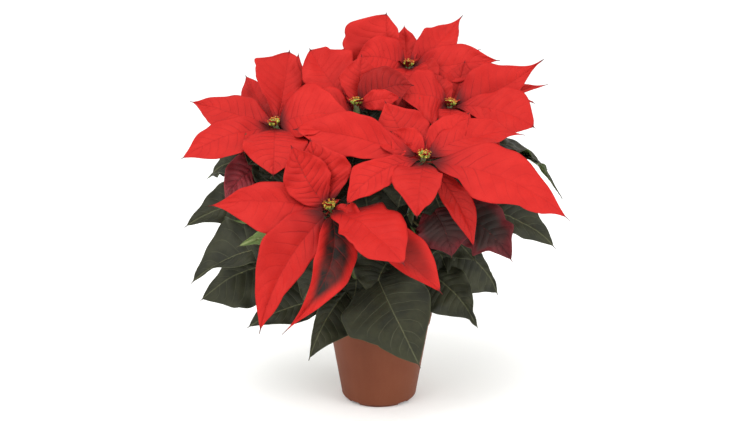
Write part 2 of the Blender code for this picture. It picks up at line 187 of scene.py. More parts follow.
def veinPattern():
    tree, given, out = newGroup(
        "BladeVeins",
        {"Count": 9.0, "Width": 0.2, "Reach": 0.9, "Net scale": 380.0},
        ("Veins", "Midrib", "Net", "Cloud", "Height"),
    )
    uv = tree.nodes.new("ShaderNodeUVMap")
    uv.uv_map = "bladeMap"
    parts = tree.nodes.new("ShaderNodeSeparateXYZ")
    tree.links.new(uv.outputs[0], parts.inputs[0])
    u, v = parts.outputs[0], parts.outputs[1]
    seed = attribute(tree, "seed")
    side = calc(tree, "MULTIPLY_ADD", v, 2.0, -1.0)
    s = calc(tree, "ABSOLUTE", side)
    leftHalf = calc(tree, "MULTIPLY", calc(tree, "LESS_THAN", side, 0.0), 0.5)
    turns = calc(tree, "MULTIPLY_ADD", u, veinShape["wobbleTurns"] * math.tau, calc(tree, "MULTIPLY", seed, math.tau))
    wobble = calc(tree, "MULTIPLY", calc(tree, "SINE", turns), veinShape["wobble"])
    drift = calc(tree, "MULTIPLY", calc(tree, "SUBTRACT", noiseTexture(tree, 60.0, 1.0), 0.5), 0.02)
    hook = calc(tree, "MULTIPLY", calc(tree, "POWER", s, 3.0), veinShape["hook"])
    phase = calc(tree, "SUBTRACT", u, calc(tree, "MULTIPLY_ADD", s, veinShape["slant"], hook))
    phase = calc(tree, "ADD", calc(tree, "ADD", phase, wobble), drift)
    cell = calc(tree, "FRACT", calc(tree, "MULTIPLY_ADD", phase, given["Count"], leftHalf))
    near = calc(tree, "MULTIPLY", calc(tree, "ABSOLUTE", calc(tree, "SUBTRACT", cell, 0.5)), 2.0)
    low = calc(tree, "SUBTRACT", 1.0, given["Width"])
    vein = smooth(tree, near, low, 1.0)
    vein = calc(tree, "MULTIPLY", vein, smooth(tree, s, given["Reach"], calc(tree, "SUBTRACT", given["Reach"], 0.45)))
    ends = calc(tree, "MULTIPLY", smooth(tree, u, 0.02, 0.08), smooth(tree, u, 0.93, 0.80))
    vein = calc(tree, "MULTIPLY", vein, ends)
    midrib = smooth(tree, attribute(tree, "fromRib"), 1.1, 0.3)
    cells = tree.nodes.new("ShaderNodeTexVoronoi")
    cells.feature = "DISTANCE_TO_EDGE"
    tree.links.new(tree.nodes.new("ShaderNodeTexCoord").outputs["Object"], cells.inputs["Vector"])
    tree.links.new(given["Net scale"], cells.inputs["Scale"])
    net = smooth(tree, cells.outputs["Distance"], 0.10, 0.0)
    cloud = noiseTexture(tree, 45.0, 4.0, 0.55)
    height = calc(tree, "MULTIPLY_ADD", near, -0.35, calc(tree, "MULTIPLY", cells.outputs["Distance"], 0.30))
    height = calc(tree, "MULTIPLY_ADD", vein, -0.8, height)
    height = calc(tree, "MULTIPLY_ADD", midrib, -1.2, height)
    for label, socket in (("Veins", vein), ("Midrib", midrib), ("Net", net), ("Cloud", cloud), ("Height", height)):
        tree.links.new(socket, out[label])
    return tree


bladeVeins = veinPattern()


# One side of a bract or leaf. The heart colour fills the middle of a blade that is turning.
def bladeMaterial(name, look):
    material, tree, shader = newMaterial(name)
    veins = placeGroup(tree, bladeVeins, Count=look["count"], Width=look["veinWidth"],
                       Reach=look["reach"], **{"Net scale": look["netScale"]})
    u = tree.nodes.new("ShaderNodeSeparateXYZ")
    uv = tree.nodes.new("ShaderNodeUVMap")
    uv.uv_map = "bladeMap"
    tree.links.new(uv.outputs[0], u.inputs[0])
    along = u.outputs[0]
    fromEdge = attribute(tree, "fromEdge")
    cloud = smooth(tree, veins["Cloud"], 0.3, 0.7)
    colour = mixColour(tree, cloud, look["colour"], look["cloudColour"])
    # Towards the stalk: painted shade on bracts and leaf tops, and the blade's own redder or paler base on turning
    # leaves and leaf undersides.
    colour = mixColour(tree, smooth(tree, along, 0.42, 0.0, 0.0, look["baseTintAndShadeShare"]), colour, look["baseTintAndShade"])
    # Painted shade: blades go near black close to the stalk, where they crowd at the head.
    colour = mixColour(tree, smooth(tree, along, 0.17, 0.02, 0.0, look["throatShadeShare"]), colour, look["throatShadeColour"])
    heart = calc(tree, "MULTIPLY", attribute(tree, "heart"), smooth(tree, fromEdge, 2.5, 14.0))
    heart = calc(tree, "MULTIPLY", heart, smooth(tree, along, look["heartStart"], look["heartStart"] + 0.3))
    heart = calc(tree, "MULTIPLY", heart, smooth(tree, along, 0.98, 0.60))
    heart = calc(tree, "MULTIPLY", heart, calc(tree, "MULTIPLY_ADD", cloud, 0.25, 0.85), clamp=True)
    colour = mixColour(tree, heart, colour, look["heartColour"])
    colour = mixColour(tree, calc(tree, "MULTIPLY", veins["Net"], look["netShare"]), colour, look["veinColour"])
    veiny = calc(tree, "MULTIPLY", attribute(tree, "veiny"), look["veinShare"])
    # Veins stronger near the stalk: on bracts the dark veins there are partly real and partly painted shade at the
    # head's centre.
    veiny = calc(tree, "ADD", veiny, smooth(tree, along, 0.50, 0.05, 0.0, look["baseVeinsAndShade"]))
    colour = mixColour(tree, calc(tree, "MULTIPLY", veins["Veins"], veiny, clamp=True), colour, look["veinColour"])
    rib = calc(tree, "MULTIPLY", veins["Midrib"], calc(tree, "MULTIPLY_ADD", attribute(tree, "veiny"), 0.75, 0.25))
    colour = mixColour(tree, calc(tree, "MULTIPLY", rib, look["ribShare"], clamp=True), colour, look["ribColour"])
    colour = mixColour(tree, smooth(tree, fromEdge, 1.0, 0.1, 0.0, look["rimShare"]), colour, look["rimColour"])
    colour = mixColour(tree, smooth(tree, along, 0.935, 0.975), colour, look["tipColour"])
    tone = tree.nodes.new("ShaderNodeHueSaturation")
    tree.links.new(colour, tone.inputs["Color"])
    tree.links.new(attribute(tree, "tone"), tone.inputs["Value"])
    tree.links.new(tone.outputs[0], shader.inputs["Base Color"])
    tree.links.new(calc(tree, "MULTIPLY_ADD", veins["Cloud"], 0.16, look["roughness"] - 0.08), shader.inputs["Roughness"])
    shader.inputs["Specular IOR Level"].default_value = look["specular"]
    tree.links.new(bump(tree, veins["Height"], look["bump"], 0.0005), shader.inputs["Normal"])
    return material


bractLook = {
    "colour": (0.398, 0.0112, 0.0080), "cloudColour": (0.355, 0.0086, 0.0066),
    "baseTintAndShade": (0.230, 0.0040, 0.0050), "baseTintAndShadeShare": 0.50,
    "throatShadeColour": (0.030, 0.0040, 0.0040), "throatShadeShare": 0.90,
    "heartStart": -0.4, "heartColour": (0.012, 0.010, 0.008), "veinColour": (0.130, 0.0025, 0.0040), "veinShare": 0.45, "baseVeinsAndShade": 0.65,
    "netShare": 0.06, "ribColour": (0.190, 0.0040, 0.0050), "ribShare": 0.28,
    "rimColour": (0.300, 0.0080, 0.0080), "rimShare": 0.35, "tipColour": (0.085, 0.0080, 0.0090),
    "count": 10.0, "veinWidth": 0.16, "reach": 0.95, "netScale": 420.0,
    "roughness": 0.62, "specular": 0.14, "bump": 0.45,
}
bractUnderLook = dict(bractLook, colour=(0.330, 0.022, 0.019), cloudColour=(0.270, 0.014, 0.013), baseTintAndShadeShare=0.25,
                      throatShadeShare=0.3, veinColour=(0.180, 0.006, 0.008), veinShare=0.7, baseVeinsAndShade=0.3)
leafLook = {
    "colour": (0.0290, 0.0300, 0.0150), "cloudColour": (0.0150, 0.0160, 0.0100),
    "baseTintAndShade": (0.0090, 0.0100, 0.0070), "baseTintAndShadeShare": 0.6,
    "throatShadeColour": (0.0070, 0.0080, 0.0060), "throatShadeShare": 0.5,
    "heartStart": -0.4, "heartColour": (0.0150, 0.0160, 0.0100), "veinColour": (0.075, 0.080, 0.046), "veinShare": 0.45, "baseVeinsAndShade": 0.1,
    "netShare": 0.03, "ribColour": (0.095, 0.098, 0.052), "ribShare": 0.7,
    "rimColour": (0.075, 0.080, 0.038), "rimShare": 0.55, "tipColour": (0.040, 0.038, 0.022),
    "count": 11.0, "veinWidth": 0.13, "reach": 1.0, "netScale": 330.0,
    "roughness": 0.56, "specular": 0.16, "bump": 0.6,
}
leafUnderLook = dict(leafLook, colour=(0.090, 0.130, 0.038), cloudColour=(0.065, 0.098, 0.030),
                     baseTintAndShade=(0.100, 0.140, 0.045), throatShadeShare=0.0, veinColour=(0.150, 0.200, 0.075),
                     ribColour=(0.18, 0.22, 0.09), rimColour=(0.13, 0.17, 0.06), roughness=0.6)
turningLook = dict(leafLook, colour=(0.105, 0.0095, 0.0125), cloudColour=(0.066, 0.0085, 0.0105),
                   baseTintAndShade=(0.170, 0.0070, 0.0110), baseTintAndShadeShare=0.7, throatShadeShare=0.8,
                   heartStart=0.12, heartColour=(0.0210, 0.0185, 0.0150), veinColour=(0.022, 0.0050, 0.0065),
                   veinShare=0.5, baseVeinsAndShade=0.3, netShare=0.22,
                   ribColour=(0.045, 0.010, 0.010), ribShare=0.5, rimColour=(0.165, 0.016, 0.022), rimShare=0.6,
                   tipColour=(0.10, 0.016, 0.018))
turningUnderLook = dict(leafUnderLook, colour=(0.17, 0.060, 0.040), cloudColour=(0.12, 0.045, 0.030))

bladeMaterials = {
    "bract": (bladeMaterial("BractVelvet", bractLook), bladeMaterial("BractUnderside", bractUnderLook)),
    "leaf": (bladeMaterial("LeafTop", leafLook), bladeMaterial("LeafUnderside", leafUnderLook)),
    "turning": (bladeMaterial("TurningTop", turningLook), bladeMaterial("TurningUnderside", turningUnderLook)),
}


# Round stalks and stems: a grown, slightly ribbed skin with small pale dots.
def stalkMaterial(name, low, high):
    material, tree, shader = newMaterial(name)
    cloud = noiseTexture(tree, 70.0, 4.0, 0.6)
    colour = mixColour(tree, smooth(tree, cloud, 0.35, 0.65), low, high)
    dots = smooth(tree, noiseTexture(tree, 900.0, 1.0), 0.68, 0.76, 0.0, 0.35)
    colour = mixColour(tree, dots, colour, tuple(min(1.0, c * 2.2) for c in high))
    tree.links.new(colour, shader.inputs["Base Color"])
    tree.links.new(calc(tree, "MULTIPLY_ADD", cloud, 0.2, 0.4), shader.inputs["Roughness"])
    shader.inputs["Specular IOR Level"].default_value = 0.3
    tree.links.new(bump(tree, noiseTexture(tree, 420.0, 2.0), 0.3, 0.0004), shader.inputs["Normal"])
    return material


petioleMaterials = {
    "bract": stalkMaterial("BractStalk", (0.20, 0.012, 0.010), (0.12, 0.030, 0.012)),
    "leaf": stalkMaterial("LeafStalk", (0.150, 0.160, 0.060), (0.110, 0.075, 0.035)),
    "turning": stalkMaterial("TurningStalk", (0.16, 0.030, 0.020), (0.10, 0.016, 0.014)),
}
stemMaterial = stalkMaterial("StemSkin", (0.070, 0.100, 0.028), (0.095, 0.090, 0.035))
print("blade materials ready")


# Meshes

def finishPiece(bm, name, materials, node=None):
    mesh = bpy.data.meshes.new(name)
    bm.to_mesh(mesh)
    bm.free()
    mesh.shade_smooth()
    for material in materials:
        mesh.materials.append(material)
    piece = bpy.data.objects.new(name, mesh)
    bpy.context.scene.collection.objects.link(piece)
    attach(piece, "root")
    if node:
        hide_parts(node)
    return piece


# A closed tube along the centres. A flat grid is rolled up and its seam and ends are closed.
def growTube(bm, centres, radii, sides, crossways, materialIndex=0):
    rings = len(centres) - 1
    verts = bmesh.ops.create_grid(bm, x_segments=rings, y_segments=sides, size=1.0)["verts"]
    for vert in verts:
        i = round((vert.co.x + 1) / 2 * rings)
        angle = (vert.co.y + 1) * math.pi
        across, normal = crossways[i]
        vert.co = centres[i] + (across * math.cos(angle) + normal * math.sin(angle)) * radii[i]
    bmesh.ops.remove_doubles(bm, verts=verts, dist=1e-7)
    verts = [vert for vert in verts if vert.is_valid]
    rims = list({edge for vert in verts for edge in vert.link_edges if edge.is_boundary})
    bmesh.ops.holes_fill(bm, edges=rims, sides=0)
    faces = list({face for vert in verts for face in vert.link_faces})
    bmesh.ops.recalc_face_normals(bm, faces=faces)
    for face in faces:
        face.material_index = materialIndex


# Blades. A lobe is (how far along, side, how much wider, how long it is): side 1 is the right hand
# of someone who walks up the midrib, and -1 the left. A curl lifts one margin: (side, from, to, height).
bladeShape = {
    "mainCells": (60, 22),
    "innerCells": (42, 16),
    "smallCells": (26, 10),
    "smallWidth": 0.030,
    "thickness": 0.00045,
    "hairStart": 0.945,
    "hairWidths": (0.0013, 0.0003),
    "foldStart": 0.25,
    "rollFrom": 0.45,
    "twistPower": 4,
    "ribRadii": (0.0013, 0.0002),
    "ribRings": 16,
    "ribSides": 8,
}
kindShape = {
    "bract": {"stalk": 0.04, "fold": 8, "bow": 0.0, "skew": 0.0, "twist": 0.0, "camber": 0.0, "wave": 0.0030,
              "waves": 1.7, "rough": 0.070, "point": 1.30, "shoulder": 0.72, "tail": 0.0, "drift": 0.0034, "pucker": 0.00025, "veiny": 0.20, "veins": 10, "heart": 0.0,
              "tone": 1.0, "lobes": (), "curls": ()},
    "leaf": {"stalk": 0.25, "fold": 8, "bow": 0.0, "skew": 0.0, "twist": 0.0, "camber": 0.0, "wave": 0.0032,
             "waves": 2.3, "rough": 0.060, "point": 1.25, "shoulder": 0.90, "tail": 0.0, "drift": 0.0040, "pucker": 0.00060, "veiny": 1.0, "veins": 11, "heart": 0.0,
             "tone": 1.0, "lobes": (), "curls": ()},
}
kindShape["turning"] = dict(kindShape["leaf"], stalk=0.20, wave=0.0028, heart=0.8)


def blade(kind, head, tip, width, peak, lifts, face, **more):
    return dict(kindShape[kind], kind=kind, head=head, tip=tip, width=width, peak=peak, lifts=lifts, face=face, **more)


# 0 at both ends of a blade and 1 where it is widest. Past there the flanks run hollow to the tip,
# and a shoulder under 1 makes the base broad.
def outlineShare(x, peak, point, shoulder):
    if not 0 < x < 1:
        return 0.0
    full = math.sin(math.pi * x ** (math.log(0.5) / math.log(peak)))
    return full ** (point if x > peak else shoulder)


# Height of the skin over the smooth blade: valleys along the veins, and pillows between them.
def reliefOf(x, s, spec, seed):
    side = 0.5 if s < 0 else 0.0
    reach = abs(s)
    turns = (x * veinShape["wobbleTurns"] + seed) * math.tau
    phase = x - veinShape["slant"] * reach - veinShape["hook"] * reach ** 3 + veinShape["wobble"] * math.sin(turns)
    near = abs((phase * spec["veins"] + side) % 1.0 - 0.5) * 2
    fade = min(1.0, (1 - reach) * 5) * min(1.0, x * 8) * min(1.0, (1 - x) * 5)
    rib = math.exp(-(reach / 0.07) ** 2)
    return spec["pucker"] * fade * (1.0 - 2.0 * near ** 3 - 1.2 * rib)


# The midrib point, its frame and the two half widths at one station of a blade.
def stationOf(curve, facing, spec, x, rng):
    u = spec["stalk"] + (1 - spec["stalk"]) * x
    heading = curveHeading(curve, u)
    across = heading.cross(facing).normalized()
    if spec["twist"]:
        across = Matrix.Rotation(spec["twist"] * x ** bladeShape["twistPower"], 3, heading) @ across
    normal = across.cross(heading)
    halves = {}
    for side in (-1, 1):
        half = spec["width"] / 2 * outlineShare(x, spec["peak"], spec["point"], spec["shoulder"]) * (1 - spec["skew"] * side)
        half *= 1 + spec["rough"] * noise.noise(Vector((x * 9, side * 3.7, rng * 50)))
        for place, lobeSide, rise, spread in spec["lobes"]:
            if lobeSide == side:
                half *= 1 + rise * max(0.0, 1 - abs(x - place) / spread)
        if x > bladeShape["hairStart"]:
            wide, thin = bladeShape["hairWidths"]
            share = (x - bladeShape["hairStart"]) / (1 - bladeShape["hairStart"])
            half = max(half * (1 - share) ** 2, (wide + (thin - wide) * share) / 2)
        else:
            half = max(half, (0.0022 if x < 0.5 else bladeShape["hairWidths"][0]) / 2)
        if spec["tail"] and x > 0.75:
            half = max(half, spec["tail"] * (1 - ((x - 0.75) / 0.25) ** 4))
        halves[side] = half
    return curvePoint(curve, u), across, normal, halves


# Where the blade's stalk meets its branch, on the side that looks towards its tip.
def bladeBase(spec):
    branch = branchCurve(spec["head"])
    length = (branch[3] - branch[2]).length * 3
    along = spec.get("along") or 1.0 - spec["drop"] / length
    centre = curvePoint(branch, along)
    axis = curveHeading(branch, along)
    out = Vector(spec["tip"]) - centre
    out = (out - axis * out.dot(axis)).normalized()
    return centre + out * branchRadius(along) * 0.8


def midribCurve(spec):
    base, tip = bladeBase(spec), Vector(spec["tip"])
    chord = tip - base
    sideways = Vector((-chord.y, chord.x, 0.0)).normalized()
    upward = chord.cross(sideways).normalized()
    aside = sideways * -spec["bow"]
    return (base, base + chord / 3 + upward * spec["lifts"][0] + aside,
            base + chord * 2 / 3 + upward * spec["lifts"][1] + aside, tip)


# How far a point of the blade stands over the flat cross-section through its midrib.
def skinHeight(x, s, half, spec, phases, seed):
    reach, side = abs(s), 1 if s > 0 else -1
    swell = math.sin(math.pi * min(1.0, x * 1.02)) ** 0.7
    wave = math.sin(math.tau * (spec["waves"] * x + phases[side])) + 0.45 * math.sin(
        math.tau * (spec["waves"] * 2.3 * x + phases[-side]))
    height = spec["wave"] * swell * reach ** 2.2 * wave
    height += spec["camber"] * half * s * s
    height += spec["drift"] * swell * noise.noise(Vector((x * 4, s * 1.5, seed * 40)))
    return height + reliefOf(x, s, spec, seed)


# A margin that rolls up and over, so that it shows its underside: (side, from, to, how far it turns)
def rolledMargin(x, s, half, out, height, spec):
    reach, side = abs(s), 1 if s > 0 else -1
    for rollSide, start, end, turn in spec["curls"]:
        if rollSide == side and start < x < end and reach > bladeShape["rollFrom"]:
            length = half * (1 - bladeShape["rollFrom"])
            most = turn * math.sin(math.pi * (x - start) / (end - start)) ** 0.6
            share = (reach - bladeShape["rollFrom"]) / (1 - bladeShape["rollFrom"])
            if most > 0.05:
                radius = length / most
                out = side * (half * bladeShape["rollFrom"] + radius * math.sin(most * share))
                height += radius * (1 - math.cos(most * share))
    return out, height


def makeBlade(name, spec, node=None):
    rng = random.Random(name)
    seed = rng.random()
    phases = {-1: rng.random(), 1: rng.random()}
    curve = midribCurve(spec)
    middle = curvePoint(curve, 0.55)
    facing = Vector(spec["face"]).normalized() if spec["face"] else (middle - plantShape["heart"]).normalized()
    small = spec["width"] < bladeShape["smallWidth"]
    cells, ways = bladeShape["smallCells" if small else "mainCells" if node else "innerCells"]
    stations = [stationOf(curve, facing, spec, i / cells, seed) for i in range(cells + 1)]
    bm = bmesh.new()
    layers = {key: bm.verts.layers.float.new(key) for key in ("fromRib", "fromEdge", "seed", "heart", "tone", "veiny")}
    uvLayer = bm.loops.layers.uv.new("bladeMap")
    bmesh.ops.create_grid(bm, x_segments=cells, y_segments=ways, size=1.0)
    for face in bm.faces:
        for loop in face.loops:
            loop[uvLayer].uv = ((loop.vert.co.x + 1) / 2, (1 - loop.vert.co.y) / 2)
    # A small random spread of tone, times the blade's own setting; d2's low setting is painted shade.
    tone = spec["tone"] * rng.uniform(0.96, 1.04)
    fold = math.radians(spec["fold"])
    for vert in bm.verts:
        x, s = (vert.co.x + 1) / 2, -vert.co.y
        point, across, normal, halves = stations[round(x * cells)]
        half = halves[1 if s > 0 else -1]
        out = half * s
        tilt = fold * min(1.0, x / bladeShape["foldStart"])
        vert[layers["fromRib"]] = abs(out) * 1000
        vert[layers["fromEdge"]] = (half - abs(out)) * 1000
        vert[layers["seed"]] = seed
        vert[layers["heart"]] = spec["heart"]
        vert[layers["tone"]] = tone
        vert[layers["veiny"]] = spec["veiny"]
        height = abs(out) * math.sin(tilt) + skinHeight(x, s, half, spec, phases, seed)
        out, height = rolledMargin(x, s, half, out * math.cos(tilt), height, spec)
        vert.co = point + across * out + normal * height
    bm.normal_update()
    sheet = bm.faces[:]
    made = bmesh.ops.solidify(bm, geom=sheet, thickness=bladeShape["thickness"])
    for element in made["geom"]:
        if isinstance(element, bmesh.types.BMFace):
            element.material_index = 1
    addPetiole(bm, curve, facing, spec, lambda x: skinHeight(x, 0.0, 0.0, spec, phases, seed))
    top, under = bladeMaterials[spec["kind"]]
    return finishPiece(bm, name, (top, under, petioleMaterials[spec["kind"]]), node)


# The round stalk, which runs on under the blade as its midrib and tapers out near the tip.
def addPetiole(bm, curve, facing, spec, middleHeight):
    rings = bladeShape["ribRings"]
    end = spec["stalk"] + (1 - spec["stalk"]) * 0.88
    thick, thin = bladeShape["ribRadii"]
    centres, radii, crossways = [], [], []
    for i in range(rings + 1):
        u = end * i / rings
        heading = curveHeading(curve, u)
        across = heading.cross(facing).normalized()
        x = max(0.0, (u - spec["stalk"]) / (1 - spec["stalk"]))
        if spec["twist"]:
            across = Matrix.Rotation(spec["twist"] * x ** bladeShape["twistPower"], 3, heading) @ across
        normal = across.cross(heading)
        radius = thick + (thin - thick) * (i / rings) ** 0.8
        radius *= min(1.0, spec["width"] / 0.045)
        sunk = radius * 0.75 + bladeShape["thickness"] - middleHeight(x)
        centres.append(curvePoint(curve, u) - normal * sunk)
        radii.append(radius)
        crossways.append((across, normal))
    growTube(bm, centres, radii, bladeShape["ribSides"], crossways, 2)


# The big bracts, each head's from the top one down
bracts = {
    "a4": blade("bract", "a", (-0.104, 0.060, 0.407), 0.058, 0.62, (-0.012, -0.006), (0.2, -1, 0.3), fold=12, skew=0.32,
                lobes=((0.76, -1, 0.34, 0.09), (0.93, 1, 0.9, 0.06))),
    "a6": blade("bract", "a", (-0.033, -0.035, 0.354), 0.074, 0.44, (0.010, 0.006), (0.1, -0.8, 1), skew=0.05),
    "a2": blade("bract", "a", (-0.220, 0.040, 0.350), 0.054, 0.48, (0.002, 0.002), (-0.2, -0.7, 1), point=1.7, skew=0.08,
                veiny=0.6),
    "a7": blade("bract", "a", (-0.117, -0.085, 0.295), 0.073, 0.50, (0.012, 0.010), (0, -1, 1), skew=0.04, veiny=0.8),
    "a1": blade("bract", "a", (-0.222, -0.060, 0.308), 0.057, 0.50, (0.014, 0.010), (-0.2, -0.9, 1), point=1.5, skew=0.20,
                veiny=0.5),
    "a8": blade("bract", "a", (-0.158, 0.085, 0.371), 0.042, 0.50, (-0.006, 0.000), (0, -0.5, 1), point=1.6),
    "b2": blade("bract", "b", (-0.097, -0.092, 0.333), 0.056, 0.50, (-0.010, -0.004), (0.3, -1, 0.3), fold=12, veiny=1.1,
                pucker=0.0006),
    "b3": blade("bract", "b", (-0.077, -0.066, 0.334), 0.064, 0.46, (-0.010, -0.002), (-0.2, -1, 0.3), fold=12,
                skew=-0.30, veiny=1.0, pucker=0.0006),
    "b5": blade("bract", "b", (0.027, -0.195, 0.229), 0.079, 0.50, (0.012, 0.012), (0.3, -0.6, 1), skew=0.02, point=1.2,
                lobes=((0.20, -1, 0.45, 0.16), (0.26, 1, -0.35, 0.18), (0.82, 1, 0.7, 0.2))),
    "b1": blade("bract", "b", (-0.187, -0.120, 0.272), 0.066, 0.49, (0.010, 0.010), (-0.2, -1, 0.8), point=1.9, skew=0.30),
    "b7": blade("bract", "b", (-0.129, -0.190, 0.150), 0.060, 0.42, (0.016, 0.020), (0.1, -1, 0.4), fold=22,
                bow=0.006, point=1.35, skew=-0.24, lobes=((0.86, -1, 0.55, 0.15),)),
    # b6's heart darkens its middle as painted shade.
    "b6": blade("bract", "b", (0.068, -0.170, 0.188), 0.044, 0.60, (0.006, 0.010), (0.3, -1, 0.5), skew=0.36,
                heart=0.55),
    "b8": blade("bract", "b", (-0.104, -0.205, 0.155), 0.047, 0.38, (0.010, 0.012), (0.3, -1, 0.4), fold=16,
                bow=-0.038, point=1.8, skew=0.1, heart=1.0, veiny=0.6),
    "c7": blade("bract", "c", (0.006, -0.025, 0.367), 0.066, 0.44, (-0.012, -0.004), (0.3, -1, 0.4), fold=10, veiny=0.9),
    "c1": blade("bract", "c", (-0.097, -0.050, 0.340), 0.053, 0.56, (0.006, 0.010), (0, -1, 0.7), skew=-0.04,
                point=1.15),
    "c2": blade("bract", "c", (-0.037, -0.118, 0.271), 0.037, 0.58, (0.014, 0.022), (-0.2, -1, 0.7), skew=0.08, veiny=0.8,
                lobes=((0.66, 1, 0.45, 0.16),)),
    "c5": blade("bract", "c", (0.166, -0.015, 0.324), 0.046, 0.46, (0.018, 0.018), (0, -0.7, 1), fold=10, point=1.8),
    "c3": blade("bract", "c", (0.040, -0.150, 0.267), 0.056, 0.38, (0.003, 0.006), (0, -1, 0.9), skew=-0.16, point=1.15),
    "c4": blade("bract", "c", (0.208, -0.120, 0.255), 0.082, 0.44, (0.020, 0.028), (0.2, -0.8, 1), bow=0.005,
                skew=-0.06, point=1.6, shoulder=1.3, lobes=((0.22, 1, -0.40, 0.14), (0.84, 1, 0.70, 0.16))),
    "c9": blade("bract", "c", (0.103, -0.130, 0.226), 0.032, 0.50, (0.010, 0.014), (0.3, -1, 0.3), bow=-0.007,
                shoulder=1.0, veiny=0.8, tone=0.85),
    "d1": blade("bract", "d", (-0.081, 0.050, 0.411), 0.064, 0.60, (-0.012, -0.006), (0.2, -1, 0.4), fold=10, skew=-0.12,
                lobes=((0.66, 1, 0.18, 0.14), (0.9, 1, 0.5, 0.06))),
    # d2 is set darker as painted shade.
    "d2": blade("bract", "d", (0.040, 0.015, 0.375), 0.054, 0.46, (0.010, 0.012), (0.1, -1, 0.6), veiny=1.2, tone=0.62,
                pucker=0.0006),
    "d4": blade("bract", "d", (-0.085, 0.110, 0.375), 0.064, 0.46, (0.012, 0.012), None),
    "e3": blade("bract", "e", (0.192, 0.060, 0.396), 0.058, 0.43, (-0.014, -0.008), (-0.2, -1, 0.6), fold=12,
                point=2.3, skew=0.24),
    "e6": blade("bract", "e", (0.018, 0.010, 0.364), 0.078, 0.48, (0.012, 0.010), (-0.1, -0.8, 1), skew=0.20,
                veiny=0.7),
    "e5": blade("bract", "e", (0.179, 0.000, 0.328), 0.065, 0.64, (0.014, 0.014), (0.1, -0.9, 1)),
    "e8": blade("bract", "e", (0.190, 0.130, 0.325), 0.062, 0.46, (0.014, 0.016), None),
    "f3": blade("bract", "f", (0.101, 0.145, 0.431), 0.046, 0.46, (-0.010, -0.004), (-0.2, -1, 0.4), fold=12, point=1.9,
                lobes=((0.80, 1, 0.30, 0.1),)),
    "f1": blade("bract", "f", (0.009, 0.110, 0.441), 0.065, 0.64, (-0.012, -0.006), (0, -1, 0.3), fold=10,
                bow=-0.010, skew=0.54, lobes=((0.82, -1, 0.20, 0.16), (0.38, -1, 0.34, 0.28))),
    "f5": blade("bract", "f", (-0.028, 0.060, 0.395), 0.058, 0.46, (0.010, 0.010), (0, -1, 0.8), veiny=0.7),
    "f4": blade("bract", "f", (0.142, 0.075, 0.391), 0.053, 0.48, (-0.002, 0.002), (0, -1, 0.8), point=1.7, skew=0.04),
    "f7": blade("bract", "f", (-0.065, 0.180, 0.360), 0.064, 0.46, (0.014, 0.016), None),
    "f8": blade("bract", "f", (0.090, 0.200, 0.350), 0.066, 0.46, (0.014, 0.016), None),
}
bractSpacing = {"firstDrop": 0.0005, "step": 0.0008}

ranks = {}
for key, spec in bracts.items():
    rank = ranks.get(spec["head"], 0)
    ranks[spec["head"]] = rank + 1
    spec["drop"] = bractSpacing["firstDrop"] + rank * bractSpacing["step"]
    makeBlade(f"Bract{key.upper()}", spec, f"bract_{key}")
print("bracts made:", len(bracts))

# The leaves, each with how far along its branch it grows
leaves = {
    "01": blade("leaf", "a", (-0.224, -0.025, 0.217), 0.059, 0.42, (0.022, 0.030), (-0.6, -0.8, 0.6), along=0.60,
                skew=-0.06),
    "03": blade("leaf", "b", (-0.215, -0.060, 0.161), 0.066, 0.42, (0.036, 0.040), (-0.4, -1, 0.8), along=0.62,
                skew=-0.46, lobes=((0.78, -1, -0.6, 0.16),), curls=((1, 0.20, 0.56, 3.2),)),
    "04": blade("leaf", "a", (-0.209, -0.020, 0.125), 0.064, 0.56, (0.020, 0.032), (-0.6, -1, 0.5), along=0.38,
                bow=-0.006, skew=0.45),
    "05": blade("leaf", "b", (-0.152, -0.060, 0.107), 0.052, 0.42, (0.012, 0.016), (-0.3, -1, 0.5), along=0.30,
                skew=-0.20),
    "06": blade("leaf", "d", (-0.079, -0.120, 0.091), 0.056, 0.36, (0.020, 0.028), (0.1, -1, 0.3), along=0.25,
                stalk=0.28, skew=0.42),
    "07": blade("leaf", "d", (0.046, -0.130, 0.086), 0.104, 0.46, (0.040, 0.050), (-0.1, -1, 0.2), along=0.36,
                stalk=0.30, bow=0.030, skew=-0.09, lobes=((0.70, 1, -0.24, 0.16),), veins=13),
    "08": blade("leaf", "c", (0.110, -0.110, 0.126), 0.063, 0.42, (0.018, 0.026), (0.3, -1, 0.4), along=0.42,
                skew=-0.25, twist=1.8, point=1.6, tail=0.0060),
    "09": blade("leaf", "c", (0.137, -0.040, 0.140), 0.058, 0.50, (0.018, 0.026), (0.5, -1, 0.5), along=0.62,
                bow=0.004, skew=-0.66),
    "10": blade("leaf", "e", (0.203, -0.030, 0.193), 0.059, 0.50, (0.024, 0.040), (0.5, -0.8, 0.8), along=0.55),
    "11": blade("leaf", "e", (0.221, 0.080, 0.220), 0.068, 0.36, (0.085, 0.060), (0.9, 0.2, 0.5), along=0.68,
                point=1.7),
    "12": blade("leaf", "e", (0.200, 0.100, 0.170), 0.068, 0.42, (0.030, 0.050), None, along=0.40),
    "13": blade("leaf", "f", (0.120, 0.190, 0.160), 0.072, 0.42, (0.030, 0.050), None, along=0.45),
    "14": blade("leaf", "f", (0.000, 0.206, 0.180), 0.074, 0.42, (0.030, 0.050), None, along=0.55),
    "15": blade("leaf", "d", (-0.120, 0.180, 0.170), 0.074, 0.42, (0.030, 0.050), None, along=0.50),
    "16": blade("leaf", "a", (-0.190, 0.110, 0.170), 0.070, 0.42, (0.030, 0.050), None, along=0.50),
}
for key, spec in leaves.items():
    makeBlade(f"Leaf{key}", spec, f"leaf_{key}")

